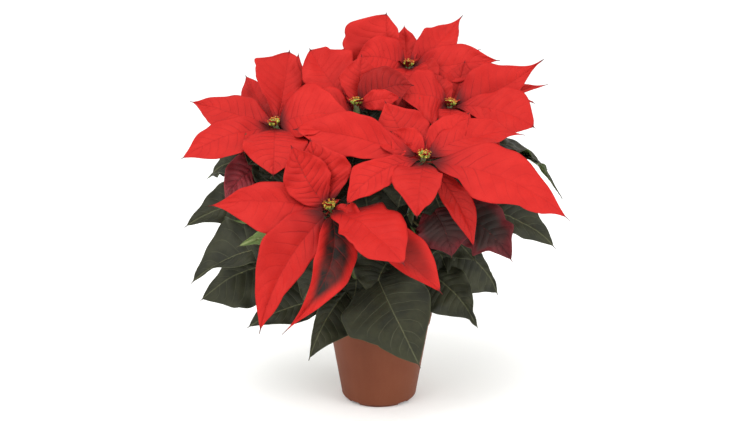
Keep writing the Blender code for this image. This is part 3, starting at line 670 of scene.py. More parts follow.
turningLeaves = {
    "1": blade("turning", "c", (0.080, -0.110, 0.209), 0.064, 0.50, (0.016, 0.020), (0.1, -1, 0.3), along=0.80, heart=0.9,
               lobes=((0.72, -1, 0.35, 0.09), (0.80, 1, 0.3, 0.08))),
    "2": blade("turning", "c", (0.149, -0.090, 0.197), 0.064, 0.46, (0.024, 0.030), (0.4, -1, 0.5), along=0.72, heart=0.9,
               lobes=((0.66, 1, 0.45, 0.08), (0.74, -1, 0.35, 0.08))),
    "3": blade("turning", "a", (-0.174, -0.055, 0.256), 0.048, 0.42, (0.020, 0.024), (-0.4, -1, 0.4), along=0.80,
               bow=0.010, heart=0.0, tone=2.3),
}
for key, spec in turningLeaves.items():
    makeBlade(f"LeafTurning{key}", spec, f"leaf_turning_{key}")
print("leaves made:", len(leaves) + len(turningLeaves))

# Smaller bracts and inner leaves between the big ones
innerBlades = {
    "BractA5": blade("bract", "a", (-0.094, 0.080, 0.399), 0.038, 0.55, (-0.006, -0.004), (0.2, -1, 0.3), drop=0.010),
    "BractF2": blade("bract", "f", (0.030, 0.125, 0.423), 0.032, 0.50, (-0.006, -0.004), (0, -1, 0.3), drop=0.003),
    "BractE4": blade("bract", "e", (0.199, 0.075, 0.362), 0.016, 0.46, (0.008, 0.006), (0, -0.8, 1), drop=0.014),
    "BractC6": blade("bract", "c", (0.102, -0.020, 0.352), 0.040, 0.50, (0.002, 0.004), (0, -1, 0.6), drop=0.006),
    "BractE1": blade("bract", "e", (0.059, 0.060, 0.383), 0.038, 0.50, (-0.006, -0.004), (0.1, -1, 0.3), drop=0.004,
                     veiny=1.1, tone=0.85),
    "BractE2": blade("bract", "e", (0.101, 0.075, 0.391), 0.040, 0.50, (-0.006, -0.004), (0, -1, 0.3), drop=0.005,
                     veiny=1.1, tone=0.9),
    "BractB4": blade("bract", "b", (-0.017, -0.125, 0.262), 0.020, 0.50, (0.004, 0.000), (0.2, -1, 0.6), drop=0.003),
    "BractC8": blade("bract", "c", (0.018, -0.060, 0.318), 0.022, 0.50, (0.004, 0.002), (-0.2, -1, 0.6), drop=0.004),
    "BractD3": blade("bract", "d", (0.024, -0.020, 0.369), 0.026, 0.50, (0.004, 0.002), (0.1, -1, 0.6), drop=0.002),
    "BractFrontE1": blade("bract", "e", (0.081, -0.005, 0.320), 0.046, 0.50, (0.006, 0.004), (0, -1, 0.8), drop=0.002),
    "BractFrontE2": blade("bract", "e", (0.051, 0.005, 0.331), 0.036, 0.50, (0.006, 0.004), (0, -1, 0.8), drop=0.003),
    "BractFrontF1": blade("bract", "f", (0.028, 0.052, 0.352), 0.046, 0.50, (0.016, 0.006), (0, -1, 0.8), drop=0.002, veiny=0.8),
    "BractA9": blade("bract", "a", (-0.068, -0.060, 0.314), 0.040, 0.50, (0.006, 0.006), (0.1, -1, 0.8), drop=0.011, tone=0.9),
    "BractFrontF2": blade("bract", "f", (0.052, 0.052, 0.362), 0.036, 0.50, (0.006, 0.004), (0, -1, 0.8), drop=0.003, veiny=0.8),
    "BractE7": blade("bract", "e", (0.137, -0.020, 0.308), 0.056, 0.48, (0.010, 0.010), (0.1, -1, 0.8), drop=0.015,
                     veiny=0.9),
    "BractD5": blade("bract", "d", (-0.086, -0.020, 0.343), 0.058, 0.46, (0.010, 0.010), (0, -0.8, 1), drop=0.010),
    "BractE9": blade("bract", "e", (0.015, 0.010, 0.335), 0.070, 0.46, (0.012, 0.012), (-0.1, -0.9, 1), drop=0.012,
                     tone=0.85, veiny=0.8),
    "BractC10": blade("bract", "c", (0.012, -0.050, 0.338), 0.038, 0.50, (0.006, 0.004), (-0.1, -1, 0.6), drop=0.006,
                      veiny=0.8),
    "BractD6": blade("bract", "d", (-0.020, 0.025, 0.409), 0.048, 0.50, (-0.006, -0.002), (0.1, -1, 0.3), drop=0.004,
                     veiny=0.8, tone=0.9),
    "BractF6": blade("bract", "f", (-0.015, 0.045, 0.367), 0.056, 0.46, (0.012, 0.012), (-0.1, -1, 0.8), drop=0.010,
                     tone=0.85, veiny=0.8),
    "BractF9": blade("bract", "f", (0.062, 0.050, 0.359), 0.050, 0.46, (0.010, 0.010), (0.1, -1, 0.8), drop=0.008,
                     tone=0.85, veiny=0.8),
    "BractBack1": blade("bract", "a", (-0.205, 0.105, 0.322), 0.056, 0.48, (0.010, 0.012), None, drop=0.021),
    "BractBack2": blade("bract", "a", (-0.140, 0.135, 0.338), 0.058, 0.48, (0.010, 0.012), None, drop=0.024),
    "BractBack3": blade("bract", "d", (-0.030, 0.140, 0.350), 0.056, 0.48, (0.010, 0.012), None, drop=0.016),
    "BractBack4": blade("bract", "e", (0.140, 0.150, 0.335), 0.056, 0.48, (0.010, 0.012), None, drop=0.021),
    "BractBack5": blade("bract", "e", (0.182, 0.078, 0.318), 0.052, 0.48, (0.012, 0.014), None, drop=0.024),
    "BractBack6": blade("bract", "f", (0.020, 0.205, 0.372), 0.060, 0.48, (0.010, 0.012), None, drop=0.021),
    "BractBack7": blade("bract", "f", (0.125, 0.165, 0.385), 0.054, 0.48, (0.008, 0.010), None, drop=0.024),
    "BractBack8": blade("bract", "f", (-0.020, 0.170, 0.398), 0.050, 0.48, (0.004, 0.004), None, drop=0.009),
    "BractBack9": blade("bract", "a", (-0.185, 0.020, 0.300), 0.050, 0.48, (0.010, 0.012), None, drop=0.027),
}
innerLeaves = {
    "LeafInner1": blade("leaf", "d", (-0.010, -0.100, 0.215), 0.070, 0.44, (0.016, 0.024), (0, -1, 0.3), along=0.70),
    "LeafInner2": blade("leaf", "c", (0.040, -0.120, 0.195), 0.070, 0.44, (0.016, 0.024), (0.1, -1, 0.3), along=0.62),
    "LeafInner3": blade("leaf", "d", (-0.075, -0.070, 0.272), 0.064, 0.44, (0.016, 0.020), (0, -1, 0.6), along=0.84),
    "LeafInner4": blade("leaf", "e", (0.100, -0.060, 0.225), 0.064, 0.44, (0.020, 0.026), (0.2, -1, 0.4), along=0.74),
    "LeafInner5": blade("leaf", "c", (-0.005, -0.085, 0.150), 0.070, 0.44, (0.016, 0.024), (0, -1, 0.3), along=0.48),
    "LeafInner6": blade("leaf", "a", (-0.130, -0.080, 0.180), 0.066, 0.44, (0.016, 0.024), (-0.3, -1, 0.4), along=0.70),
    "LeafInner7": blade("leaf", "e", (0.040, -0.010, 0.318), 0.056, 0.44, (0.010, 0.012), (0, -0.7, 1), along=0.90),
    "LeafInner8": blade("leaf", "d", (0.025, -0.050, 0.300), 0.056, 0.44, (0.010, 0.014), (0, -0.7, 1), along=0.88),
    "LeafCore1": blade("leaf", "d", (-0.033, -0.055, 0.241), 0.080, 0.44, (0.014, 0.016), (0, -1, 0.4), along=0.62, stalk=0.12),
    "LeafCore2": blade("leaf", "c", (0.023, -0.065, 0.217), 0.080, 0.44, (0.014, 0.016), (0, -1, 0.4), along=0.70, stalk=0.12),
    "LeafCore3": blade("leaf", "b", (-0.031, -0.060, 0.139), 0.074, 0.44, (0.014, 0.016), (0, -1, 0.4), along=0.60, stalk=0.12),
    "LeafCore4": blade("leaf", "e", (0.061, -0.030, 0.191), 0.080, 0.44, (0.014, 0.016), (0, -1, 0.4), along=0.70, stalk=0.12),
    "LeafCore5": blade("leaf", "d", (-0.039, -0.025, 0.292), 0.074, 0.44, (0.010, 0.012), (0, -1, 0.5), along=0.82, stalk=0.12),
    "LeafCore6": blade("leaf", "a", (-0.101, -0.040, 0.266), 0.074, 0.44, (0.010, 0.012), (0, -1, 0.5), along=0.80, stalk=0.12),
    "LeafCore7": blade("leaf", "e", (0.028, 0.000, 0.300), 0.070, 0.44, (0.010, 0.012), (0, -1, 0.5), along=0.86, stalk=0.12),
    "LeafCore9": blade("leaf", "d", (0.012, -0.015, 0.330), 0.030, 0.44, (0.002, 0.002), (0, -1, 0.5), along=0.93, stalk=0.05),
    "LeafFrontD": blade("leaf", "d", (0.010, 0.004, 0.335), 0.030, 0.50, (0.000, 0.000), (0, -1, 0.5), along=0.96, stalk=0.05),
    "LeafPale": blade("leaf", "b", (-0.160, -0.082, 0.212), 0.026, 0.46, (0.024, 0.030), (0.3, 1, -0.6), along=0.62, stalk=0.30, tone=1.5),
    "LeafBehindA": blade("leaf", "a", (-0.130, -0.050, 0.260), 0.050, 0.44, (0.006, 0.008), (0, -1, 0.5), along=0.86, stalk=0.10),
    "LeafBehindF": blade("leaf", "e", (0.028, -0.030, 0.191), 0.066, 0.44, (0.006, 0.008), (0, -1, 0.3), along=0.72, stalk=0.12),
    "LeafBehindG": blade("leaf", "c", (0.110, -0.058, 0.186), 0.050, 0.44, (0.006, 0.008), (0, -1, 0.3), along=0.70, stalk=0.12),
    "LeafBehindH": blade("leaf", "b", (0.053, -0.062, 0.149), 0.050, 0.44, (0.006, 0.008), (0, -1, 0.3), along=0.62, stalk=0.12),
    "LeafBehindB": blade("leaf", "d", (-0.056, -0.045, 0.211), 0.070, 0.44, (0.006, 0.008), (0, -1, 0.3), along=0.70, stalk=0.10),
    "LeafBehindC": blade("leaf", "e", (0.051, -0.025, 0.274), 0.060, 0.44, (0.004, 0.006), (0, -1, 0.3), along=0.88, stalk=0.10),
    "LeafBehindD": blade("leaf", "d", (0.007, -0.060, 0.247), 0.060, 0.44, (0.006, 0.008), (0, -1, 0.3), along=0.66, stalk=0.12),
    "LeafBehindE": blade("leaf", "c", (0.039, -0.075, 0.192), 0.060, 0.44, (0.006, 0.008), (0, -1, 0.3), along=0.55, stalk=0.12),
    "LeafCore10": blade("leaf", "d", (-0.031, -0.042, 0.279), 0.052, 0.44, (0.010, 0.012), (0, -1, 0.5), along=0.85, stalk=0.10),
    "LeafCore11": blade("leaf", "c", (0.077, -0.060, 0.170), 0.056, 0.44, (0.010, 0.012), (0, -1, 0.5), along=0.66, stalk=0.12),
    "LeafCore12": blade("leaf", "b", (-0.087, -0.072, 0.143), 0.056, 0.44, (0.010, 0.012), (0, -1, 0.5), along=0.60, stalk=0.12),
    "LeafCore8": blade("leaf", "f", (0.007, 0.030, 0.324), 0.070, 0.44, (0.010, 0.012), (0, -1, 0.5), along=0.80, stalk=0.12),
    "LeafUnderD2": blade("leaf", "d", (-0.050, -0.050, 0.314), 0.062, 0.44, (0.014, 0.012), (0, -1, 0.5), along=0.92),
    "LeafUnderC1": blade("leaf", "c", (0.021, -0.080, 0.257), 0.056, 0.44, (0.008, 0.008), (0, -1, 0.5), along=0.92, stalk=0.08),
    "LeafUnderC2": blade("leaf", "c", (0.070, -0.085, 0.243), 0.060, 0.44, (0.008, 0.008), (0, -1, 0.5), along=0.90, stalk=0.08),
    "LeafUnderC3": blade("leaf", "c", (0.001, -0.060, 0.272), 0.056, 0.44, (0.008, 0.008), (0, -1, 0.5), along=0.88, stalk=0.08),
    "LeafUnderB1": blade("leaf", "b", (-0.089, -0.085, 0.196), 0.056, 0.44, (0.008, 0.008), (0, -1, 0.5), along=0.90, stalk=0.08),
    "LeafUnderB2": blade("leaf", "b", (-0.030, -0.100, 0.201), 0.060, 0.44, (0.008, 0.008), (0, -1, 0.5), along=0.88, stalk=0.08),
    "LeafUnderB3": blade("leaf", "b", (-0.101, -0.090, 0.281), 0.050, 0.44, (0.010, 0.010), (0, -1, 0.6), along=0.88),
    "LeafUnderA1": blade("leaf", "a", (-0.087, -0.050, 0.302), 0.052, 0.44, (0.010, 0.010), (0, -1, 0.6), along=0.93),
    "LeafUnderA2": blade("leaf", "a", (-0.147, -0.055, 0.300), 0.052, 0.44, (0.010, 0.010), (0, -1, 0.6), along=0.90),
    "LeafUnderE1": blade("leaf", "e", (0.052, -0.010, 0.331), 0.056, 0.44, (0.012, 0.010), (0, -1, 0.6), along=0.93),
    "LeafUnderF1": blade("leaf", "f", (0.022, 0.040, 0.337), 0.056, 0.44, (0.012, 0.010), (0, -1, 0.6), along=0.92),
    "LeafUnderF2": blade("leaf", "f", (0.062, 0.050, 0.335), 0.056, 0.44, (0.012, 0.010), (0, -1, 0.6), along=0.89),
    "LeafGreenTip": blade("leaf", "a", (-0.194, 0.010, 0.271), 0.050, 0.44, (0.014, 0.018), (-0.3, -0.8, 0.8), along=0.84),
    "LeafBack1": blade("leaf", "a", (-0.205, 0.060, 0.250), 0.064, 0.42, (0.020, 0.030), None, along=0.72),
    "LeafBack2": blade("leaf", "a", (-0.155, 0.155, 0.255), 0.068, 0.42, (0.024, 0.034), None, along=0.66),
    "LeafBack3": blade("leaf", "d", (-0.055, 0.190, 0.245), 0.070, 0.42, (0.024, 0.036), None, along=0.70),
    "LeafBack4": blade("leaf", "f", (0.060, 0.200, 0.258), 0.070, 0.42, (0.024, 0.034), None, along=0.72),
    "LeafBack5": blade("leaf", "e", (0.155, 0.150, 0.248), 0.068, 0.42, (0.022, 0.032), None, along=0.66),
    "LeafBack6": blade("leaf", "e", (0.200, 0.060, 0.262), 0.060, 0.42, (0.020, 0.028), None, along=0.80),
    "LeafBack7": blade("leaf", "f", (-0.030, 0.150, 0.140), 0.070, 0.42, (0.030, 0.044), None, along=0.36),
    "LeafBack8": blade("leaf", "d", (-0.130, 0.090, 0.130), 0.066, 0.42, (0.026, 0.040), None, along=0.30),
    "LeafBack9": blade("leaf", "e", (0.140, 0.050, 0.125), 0.066, 0.42, (0.026, 0.040), None, along=0.28),
}
for name, spec in innerBlades.items():
    makeBlade(name, spec)
for name, spec in innerLeaves.items():
    makeBlade(name, spec)
print("inner blades made:", len(innerBlades) + len(innerLeaves))


# Flower clusters: green buds with a yellow gland on the side and red threads on top
cluster = {
    "rings": ((0.0, 1), (0.0026, 4), (0.0050, 8)),
    "budRadius": 0.00155,
    "budStretch": 1.5,
    "doming": 0.0028,
    "stalk": 0.0016,
    "threads": 6,
    "threadLength": 0.0021,
    "threadRadius": 0.00022,
    "glandRadius": 0.00085,
}


def plainMaterial(name, colour, other, scale, roughness, specular=0.4):
    material, tree, shader = newMaterial(name)
    mask = smooth(tree, noiseTexture(tree, scale, 3.0), 0.35, 0.65)
    tree.links.new(mixColour(tree, mask, colour, other), shader.inputs["Base Color"])
    tree.links.new(calc(tree, "MULTIPLY_ADD", mask, 0.1, roughness), shader.inputs["Roughness"])
    shader.inputs["Specular IOR Level"].default_value = specular
    tree.links.new(bump(tree, noiseTexture(tree, scale * 3, 2.0), 0.25, 0.0002), shader.inputs["Normal"])
    return material


clusterMaterials = (
    plainMaterial("BudGreen", (0.16, 0.23, 0.030), (0.26, 0.30, 0.040), 500.0, 0.42),
    plainMaterial("GlandYellow", (0.62, 0.50, 0.050), (0.52, 0.36, 0.030), 700.0, 0.22, 0.6),
    plainMaterial("ThreadRed", (0.45, 0.020, 0.012), (0.55, 0.07, 0.02), 900.0, 0.45),
)


def addPart(bm, verts, matrix, materialIndex):
    bmesh.ops.transform(bm, matrix=matrix, verts=verts)
    for face in {face for vert in verts for face in vert.link_faces}:
        face.material_index = materialIndex


# One bud: a short stalk, a green cup, a yellow gland and a tuft of threads.
def addBud(bm, place, rng):
    size = rng.uniform(0.85, 1.15)
    radius = cluster["budRadius"] * size
    verts = bmesh.ops.create_uvsphere(bm, u_segments=12, v_segments=8, radius=radius)["verts"]
    addPart(bm, verts, place @ Matrix.Diagonal((1, 1, cluster["budStretch"], 1)), 0)
    verts = bmesh.ops.create_cone(bm, cap_ends=True, segments=8, radius1=radius * 0.45, radius2=radius * 0.6,
                                  depth=cluster["stalk"])["verts"]
    addPart(bm, verts, place @ Matrix.Translation((0, 0, -cluster["stalk"] * 0.75)), 0)
    top = radius * cluster["budStretch"]
    turn = rng.uniform(0, math.tau)
    gland = (Matrix.Rotation(turn, 4, "Z") @ Matrix.Translation((radius * 0.92, 0, top * 0.45))
             @ Matrix.Diagonal((0.75, 1.35, 0.8, 1)))
    verts = bmesh.ops.create_uvsphere(bm, u_segments=10, v_segments=6, radius=cluster["glandRadius"] * size)["verts"]
    addPart(bm, verts, place @ gland, 1)
    for i in range(cluster["threads"]):
        angle = math.tau * i / cluster["threads"] + turn
        lean = Matrix.Rotation(angle, 4, "Z") @ Matrix.Rotation(rng.uniform(0.15, 0.6), 4, "Y")
        length = cluster["threadLength"] * rng.uniform(0.7, 1.2)
        stand = Matrix.Translation((0, 0, top * 0.85)) @ lean @ Matrix.Translation((0, 0, length / 2))
        verts = bmesh.ops.create_cone(bm, cap_ends=True, segments=6, radius1=cluster["threadRadius"],
                                      radius2=cluster["threadRadius"] * 0.7, depth=length)["verts"]
        addPart(bm, verts, place @ stand, 2)
        knob = stand @ Matrix.Translation((0, 0, length / 2))
        verts = bmesh.ops.create_icosphere(bm, subdivisions=1, radius=cluster["threadRadius"] * 1.7)["verts"]
        addPart(bm, verts, place @ knob, 1 if i % 2 else 2)


def makeCluster(head):
    rng = random.Random("cluster " + head)
    branch = branchCurve(head)
    axis = curveHeading(branch, 1.0)
    base = Matrix.Translation(branch[3]) @ axis.to_track_quat("Z", "Y").to_matrix().to_4x4()
    bm = bmesh.new()
    for ring, (reach, count) in enumerate(cluster["rings"]):
        for i in range(count):
            angle = math.tau * (i + 0.3 * ring + rng.uniform(-0.12, 0.12)) / count
            rise = cluster["stalk"] + cluster["doming"] * (1 - (reach / 0.0062) ** 2) + rng.uniform(-0.0005, 0.0005)
            spot = Matrix.Translation((reach * math.cos(angle), reach * math.sin(angle), rise))
            lean = Matrix.Rotation(angle, 4, "Z") @ Matrix.Rotation(reach * 110, 4, "Y")
            addBud(bm, base @ spot @ lean, rng)
    finishPiece(bm, f"FlowerCluster{head.upper()}", clusterMaterials, f"crown_{head}")


for head in plantShape["heads"]:
    makeCluster(head)
print("flower clusters made")


# Round each cluster: little red bracts close to it, and under the big bracts a collar of small dark leaves
littleBracts = {"count": 3, "length": 0.015, "width": 0.009, "rise": 0.35, "drop": 0.001, "tone": 0.7}
collarLeaves = {"count": 6, "length": 0.016, "width": 0.016, "rise": -1.0, "drop": 0.010, "tone": 0.7}


# Blades set round a head at even turns, each with its own small differences
def ringOfBlades(name, kind, head, ring):
    rng = random.Random(name + head)
    place = Vector(plantShape["heads"][head][0])
    for i in range(ring["count"]):
        angle = math.tau * (i + rng.uniform(-0.25, 0.25)) / ring["count"] + 0.6
        length = ring["length"] * rng.uniform(0.8, 1.2)
        rise = ring["rise"] + rng.uniform(-0.12, 0.2)
        tip = place + Vector((math.cos(angle), math.sin(angle), rise)) * length
        face = (-math.cos(angle) * rise, -math.sin(angle) * rise, 1.0)
        spec = blade(kind, head, tuple(tip), ring["width"] * rng.uniform(0.8, 1.2), 0.45, (0.004, 0.003), face,
                     drop=ring["drop"] + 0.0006 * i, wave=0.0006, drift=0.0008, pucker=0.00012, stalk=0.05,
                     tone=ring["tone"])
        makeBlade(f"{name}{head.upper()}{i + 1}", spec)


for head in plantShape["heads"]:
    ringOfBlades("BractLittle", "bract", head, littleBracts)
    ringOfBlades("LeafCollar", "leaf", head, collarLeaves)
print("little bracts and collars made")


# Stem: the pinched trunk and six smooth branches with a knuckle where each leaf grows
stem = {"trunkRadius": 0.0062, "bottom": 0.060, "top": 0.122, "rings": 40, "sides": 16, "knuckle": 0.35}


def makeStem():
    bm = bmesh.new()
    flat = (Vector((1, 0, 0)), Vector((0, 1, 0)))
    height = stem["top"] - stem["bottom"]
    shares = [i / 24 for i in range(25)]
    centres = [Vector((0, 0, stem["bottom"] + height * share)) for share in shares]
    radii = [stem["trunkRadius"] * (1 + 0.04 * noise.noise(Vector((share * 7, 0, 3)))) for share in shares]
    radii[-1] *= 0.6
    radii[-2] *= 0.85
    growTube(bm, centres, radii, 24, [flat] * len(centres))
    grown = {}
    for spec in (*leaves.values(), *turningLeaves.values(), *innerLeaves.values()):
        grown.setdefault(spec["head"], []).append(spec["along"])
    for head in plantShape["heads"]:
        curve = branchCurve(head)
        centres, radii, crossways = [], [], []
        for i in range(stem["rings"] * 2 + 1):
            t = i / (stem["rings"] * 2)
            heading = curveHeading(curve, t)
            across = heading.cross(Vector((0, 1, 0))).normalized()
            swell = sum(math.exp(-((t - place) / 0.014) ** 2) for place in grown.get(head, []))
            centres.append(curvePoint(curve, t))
            radii.append(branchRadius(t) * (1 + stem["knuckle"] * min(1.0, swell)))
            crossways.append((across, across.cross(heading)))
        growTube(bm, centres, radii, stem["sides"], crossways)
    finishPiece(bm, "Stem", (stemMaterial,), "stem")


makeStem()
print("stem made")


# Pot
pot = {
    "height": 0.105,
    "footRadius": 0.0435,
    "taper": math.radians(9.5),
    "wall": 0.0016,
    "edgeRadius": 0.004,
    "edgeLift": 0.0018,
    "collarHeight": 0.012,
    "collarStep": 0.0014,
    "footHeight": 0.0042,
    "footRing": (0.0357, 0.0402),
    "notchWidth": 0.015,
    "notches": 4,
    "floor": 0.002,
    "drainRadius": 0.004,
    "drainCircle": 0.029,
    "drains": 6,
    "segments": 144,
}


def wallRadius(height):
    return pot["footRadius"] + height * math.tan(pot["taper"])


def roundedCorner(centre, radius, start, end, steps):
    points = []
    for i in range(steps + 1):
        angle = math.radians(start + (end - start) * i / steps)
        points.append((centre[0] + radius * math.cos(angle), centre[1] + radius * math.sin(angle)))
    return points


# A bmesh of a profile of (radius, height) points turned once round the Z axis.
def spinProfile(profile, steps):
    bm = bmesh.new()
    points = [bm.verts.new((radius, 0.0, height)) for radius, height in profile]
    edges = [bm.edges.new(pair) for pair in zip(points, points[1:])]
    bmesh.ops.spin(bm, geom=points + edges, axis=(0, 0, 1), cent=(0, 0, 0), angle=math.tau, steps=steps,
                   use_merge=True)
    bmesh.ops.remove_doubles(bm, verts=bm.verts, dist=1e-6)
    bmesh.ops.recalc_face_normals(bm, faces=bm.faces)
    return bm


def potProfile():
    footIn, footOut = pot["footRing"]
    floorTop = pot["footHeight"] + pot["floor"]
    collar = pot["height"] - pot["collarHeight"]
    top = wallRadius(pot["height"]) + pot["collarStep"]
    edge = (wallRadius(pot["footHeight"]) - pot["edgeRadius"], pot["footHeight"] + pot["edgeLift"])
    profile = [(0.0, pot["footHeight"]), (footIn, pot["footHeight"]), (footIn, 0.0004), (footIn + 0.0004, 0.0),
               (footOut - 0.0006, 0.0), (footOut - 0.0002, 0.0002), (footOut, 0.0006),
               (footOut, pot["footHeight"] * 0.5)]
    profile += roundedCorner(edge, pot["edgeRadius"], -50, 0, 8)
    profile += [(wallRadius(collar), collar)]
    profile += roundedCorner((wallRadius(collar) + pot["collarStep"] - 0.0005, collar + 0.0010), 0.0005, -60, 0, 4)
    profile += roundedCorner((top - 0.0010, pot["height"] - 0.0010), 0.0010, 0, 90, 6)
    inner = wallRadius(pot["height"]) - pot["wall"]
    profile += roundedCorner((inner + 0.0005, pot["height"] - 0.0005), 0.0005, 90, 180, 4)
    profile += [(wallRadius(floorTop + 0.004) - pot["wall"], floorTop + 0.004)]
    profile += roundedCorner((wallRadius(floorTop) - pot["wall"] - 0.004, floorTop + 0.004), 0.004, -20, -90, 5)
    profile += [(0.0, floorTop)]
    return profile


# Boxes through the foot ring on its diagonals, and round drain holes through the floor.
def potCutters():
    footIn, footOut = pot["footRing"]
    bm = bmesh.new()
    for i in range(pot["notches"]):
        angle = math.radians(45) + i * math.tau / pot["notches"]
        reach = (footIn + footOut) / 2
        size = ((footOut - footIn) * 3, pot["notchWidth"], pot["footHeight"] * 2 - 0.0006)
        place = (Matrix.Rotation(angle, 4, "Z") @ Matrix.Translation((reach, 0, 0)) @ Matrix.Diagonal((*size, 1)))
        made = bmesh.ops.create_cube(bm, size=1.0, matrix=place)
        edges = {edge for vert in made["verts"] for edge in vert.link_edges}
        bmesh.ops.bevel(bm, geom=list(edges), offset=0.0005, segments=2, profile=0.5, affect="EDGES", material=-1)
    for i in range(pot["drains"]):
        angle = (i + 0.5) * math.tau / pot["drains"]
        place = Matrix.Translation((pot["drainCircle"] * math.cos(angle), pot["drainCircle"] * math.sin(angle),
                                    pot["footHeight"] + pot["floor"] / 2))
        bmesh.ops.create_cone(bm, cap_ends=True, segments=32, radius1=pot["drainRadius"],
                              radius2=pot["drainRadius"], depth=pot["floor"] * 4, matrix=place)
    return bm


# The first bmesh less the second, by Blender's exact boolean, as a new bmesh.
def cutMesh(bm, cutters):
    objects = []
    for shape in (bm, cutters):
        mesh = bpy.data.meshes.new("cut")
        shape.to_mesh(mesh)
        shape.free()
        objects.append(bpy.data.objects.new("cut", mesh))
        bpy.context.scene.collection.objects.link(objects[-1])
    boolean = objects[0].modifiers.new("cut", "BOOLEAN")
    boolean.object = objects[1]
    boolean.solver = "EXACT"
    result = bmesh.new()
    result.from_object(objects[0], bpy.context.evaluated_depsgraph_get())
    for obj in objects:
        bpy.data.meshes.remove(obj.data)
    return result


# Moulded terracotta-coloured plastic: faint flow streaks and fine speckle.
def potMaterial():
    material, tree, shader = newMaterial("TerracottaPlastic")
    place = tree.nodes.new("ShaderNodeTexCoord").outputs["Object"]
    stretch = tree.nodes.new("ShaderNodeMapping")
    stretch.inputs["Scale"].default_value = (1.0, 1.0, 0.12)
    tree.links.new(place, stretch.inputs["Vector"])
    streaks = smooth(tree, noiseTexture(tree, 90.0, 3.0, 0.5, stretch.outputs[0]), 0.3, 0.7)
    speckle = smooth(tree, noiseTexture(tree, 1600.0, 2.0), 0.55, 0.75)
    cloud = smooth(tree, noiseTexture(tree, 14.0, 2.0), 0.3, 0.7)
    colour = mixColour(tree, cloud, (0.122, 0.031, 0.0125), (0.146, 0.041, 0.0175))
    colour = mixColour(tree, calc(tree, "MULTIPLY", streaks, 0.25), colour, (0.160, 0.050, 0.0250))
    colour = mixColour(tree, calc(tree, "MULTIPLY", speckle, 0.30), colour, (0.220, 0.085, 0.0500))
    tree.links.new(colour, shader.inputs["Base Color"])
    tree.links.new(calc(tree, "MULTIPLY_ADD", streaks, 0.08, 0.50), shader.inputs["Roughness"])
    shader.inputs["Specular IOR Level"].default_value = 0.16
    grain = calc(tree, "MULTIPLY_ADD", speckle, 0.6, calc(tree, "MULTIPLY", streaks, 0.8))
    tree.links.new(bump(tree, grain, 0.25, 0.0003), shader.inputs["Normal"])
    return material


potPiece = finishPiece(cutMesh(spinProfile(potProfile(), pot["segments"]), potCutters()), "Pot",
                       (potMaterial(),), "pot")
potPiece.data.set_sharp_from_angle(angle=math.radians(35))
print("pot made")


# Soil: a mounded, crumbly surface with grit and bits of bark
soil = {
    "top": 0.088,
    "mound": 0.003,
    "sideGap": 0.0005,
    "bore": 0.0064,
    "crumbs": 260,
    "crumbSize": (0.0007, 0.0022),
    "perlite": 60,
}


def soilMaterial(name, dark, light, scale):
    material, tree, shader = newMaterial(name)
    crumbs = tree.nodes.new("ShaderNodeTexVoronoi")
    crumbs.inputs["Scale"].default_value = scale
    tree.links.new(tree.nodes.new("ShaderNodeTexCoord").outputs["Object"], crumbs.inputs["Vector"])
    mask = smooth(tree, noiseTexture(tree, scale * 0.6, 5.0, 0.65), 0.3, 0.75)
    tree.links.new(mixColour(tree, mask, dark, light), shader.inputs["Base Color"])
    shader.inputs["Roughness"].default_value = 0.92
    shader.inputs["Specular IOR Level"].default_value = 0.15
    height = calc(tree, "MULTIPLY_ADD", mask, 0.6, crumbs.outputs["Distance"])
    tree.links.new(bump(tree, height, 0.8, 0.0008), shader.inputs["Normal"])
    return material


def makeSoil():
    rng = random.Random("soil")
    side = pot["wall"] + soil["sideGap"]
    floor = pot["footHeight"] + pot["floor"] + 0.0003
    rim = wallRadius(soil["top"]) - side
    rings = 26
    profile = [(0.0, floor), (wallRadius(floor) - side - 0.005, floor), (wallRadius(floor + 0.005) - side, floor + 0.005),
               (rim, soil["top"] - 0.002)]
    for i in range(rings + 1):
        radius = rim + (soil["bore"] - rim) * i / rings
        profile.append((radius, soil["top"] + soil["mound"] * (i / rings) ** 0.8))
    profile += [(soil["bore"], stem["bottom"] - 0.0003), (0.0, stem["bottom"] - 0.0003)]
    bm = spinProfile(profile, 120)
    for vert in bm.verts:
        reach = math.hypot(vert.co.x, vert.co.y)
        if vert.co.z > soil["top"] - 0.0001 and soil["bore"] + 0.001 < reach < rim - 0.0005:
            place = vert.co * 220
            vert.co.z += 0.0010 * noise.noise(place) + 0.0006 * noise.noise(place * 2.7)
    for i in range(soil["crumbs"] + soil["perlite"]):
        reach = math.sqrt(rng.uniform(0.03, 0.92)) * rim
        angle = rng.uniform(0, math.tau)
        size = rng.uniform(*soil["crumbSize"])
        lift = soil["top"] + soil["mound"] * (1 - reach / rim) ** 0.8 + size * 0.2
        place = (Matrix.Translation((reach * math.cos(angle), reach * math.sin(angle), lift))
                 @ Matrix.Rotation(rng.uniform(0, math.tau), 4, Vector((rng.random(), rng.random(), rng.random() + 0.1)))
                 @ Matrix.Diagonal((rng.uniform(0.8, 1.7), rng.uniform(0.6, 1.0), rng.uniform(0.4, 0.9), 1)))
        verts = bmesh.ops.create_icosphere(bm, subdivisions=1, radius=size)["verts"]
        addPart(bm, verts, place, 1 if i >= soil["crumbs"] else 0)
    materials = (soilMaterial("PottingSoil", (0.012, 0.008, 0.005), (0.050, 0.032, 0.020), 700.0),
                 soilMaterial("SoilGrit", (0.42, 0.40, 0.36), (0.62, 0.60, 0.55), 900.0))
    piece = finishPiece(bm, "Soil", materials, "soil")
    piece.data.set_sharp_from_angle(angle=math.radians(30))


makeSoil()
print("soil made")


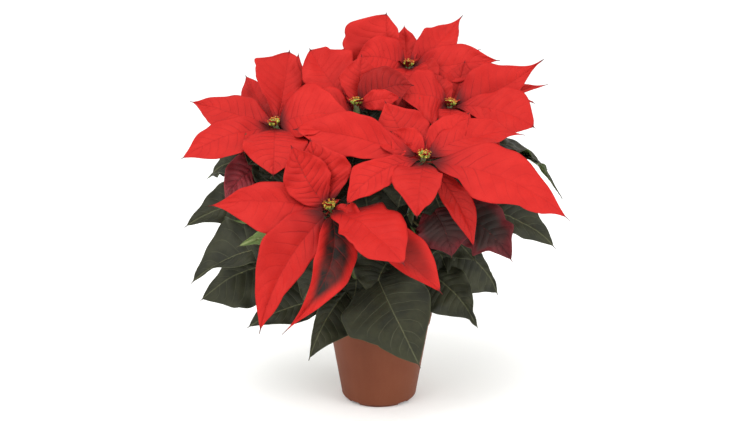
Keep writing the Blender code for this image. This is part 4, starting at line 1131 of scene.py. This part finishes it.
# Studio: a plain pale floor, soft light from both sides, and the camera
studio = {
    "cameraPlace": (-0.006, -2.0, 0.85),
    "cameraPitch": math.radians(17.23),
    "lens": 86.9,
    "floorSize": 40.0,
    "floorColour": (0.98, 0.978, 0.972),
    "sky": 1.0,
    "lights": {
        "left": ((-1.5, -1.3, 1.5), 1.3, 26.0),
        "right": ((1.7, -1.1, 1.2), 1.3, 25.0),
        "above": ((-0.2, -0.5, 2.2), 1.6, 22.0),
    },
}


def aimAt(obj, target):
    heading = Vector(target) - obj.location
    obj.rotation_euler = heading.to_track_quat("-Z", "Y").to_euler()


def makeStudio():
    scene = bpy.context.scene
    bm = bmesh.new()
    bmesh.ops.create_grid(bm, x_segments=1, y_segments=1, size=studio["floorSize"] / 2)
    mesh = bpy.data.meshes.new("Floor")
    bm.to_mesh(mesh)
    bm.free()
    floor = bpy.data.objects.new("Floor", mesh)
    scene.collection.objects.link(floor)
    material, tree, shader = newMaterial("FloorPaper")
    shader.inputs["Base Color"].default_value = (*studio["floorColour"], 1.0)
    shader.inputs["Roughness"].default_value = 0.9
    shader.inputs["Specular IOR Level"].default_value = 0.1
    mesh.materials.append(material)
    for name, (place, size, energy) in studio["lights"].items():
        light = bpy.data.lights.new(name, "AREA")
        light.shape = "SQUARE"
        light.size = size
        light.energy = energy
        lamp = bpy.data.objects.new(name, light)
        lamp.location = place
        aimAt(lamp, (0, 0, 0.25))
        scene.collection.objects.link(lamp)
    world = bpy.data.worlds.new("Studio")
    world.use_nodes = True
    world.node_tree.nodes["Background"].inputs["Color"].default_value = (1.0, 0.995, 0.985, 1.0)
    world.node_tree.nodes["Background"].inputs["Strength"].default_value = studio["sky"]
    scene.world = world
    camera = bpy.data.objects.new("Camera", bpy.data.cameras.new("Camera"))
    camera.data.lens = studio["lens"]
    camera.data.sensor_width = 36.0
    camera.location = studio["cameraPlace"]
    camera.rotation_euler = (math.radians(90) - studio["cameraPitch"], 0.0, 0.0)
    scene.collection.objects.link(camera)
    scene.camera = camera


makeStudio()
print("studio made")
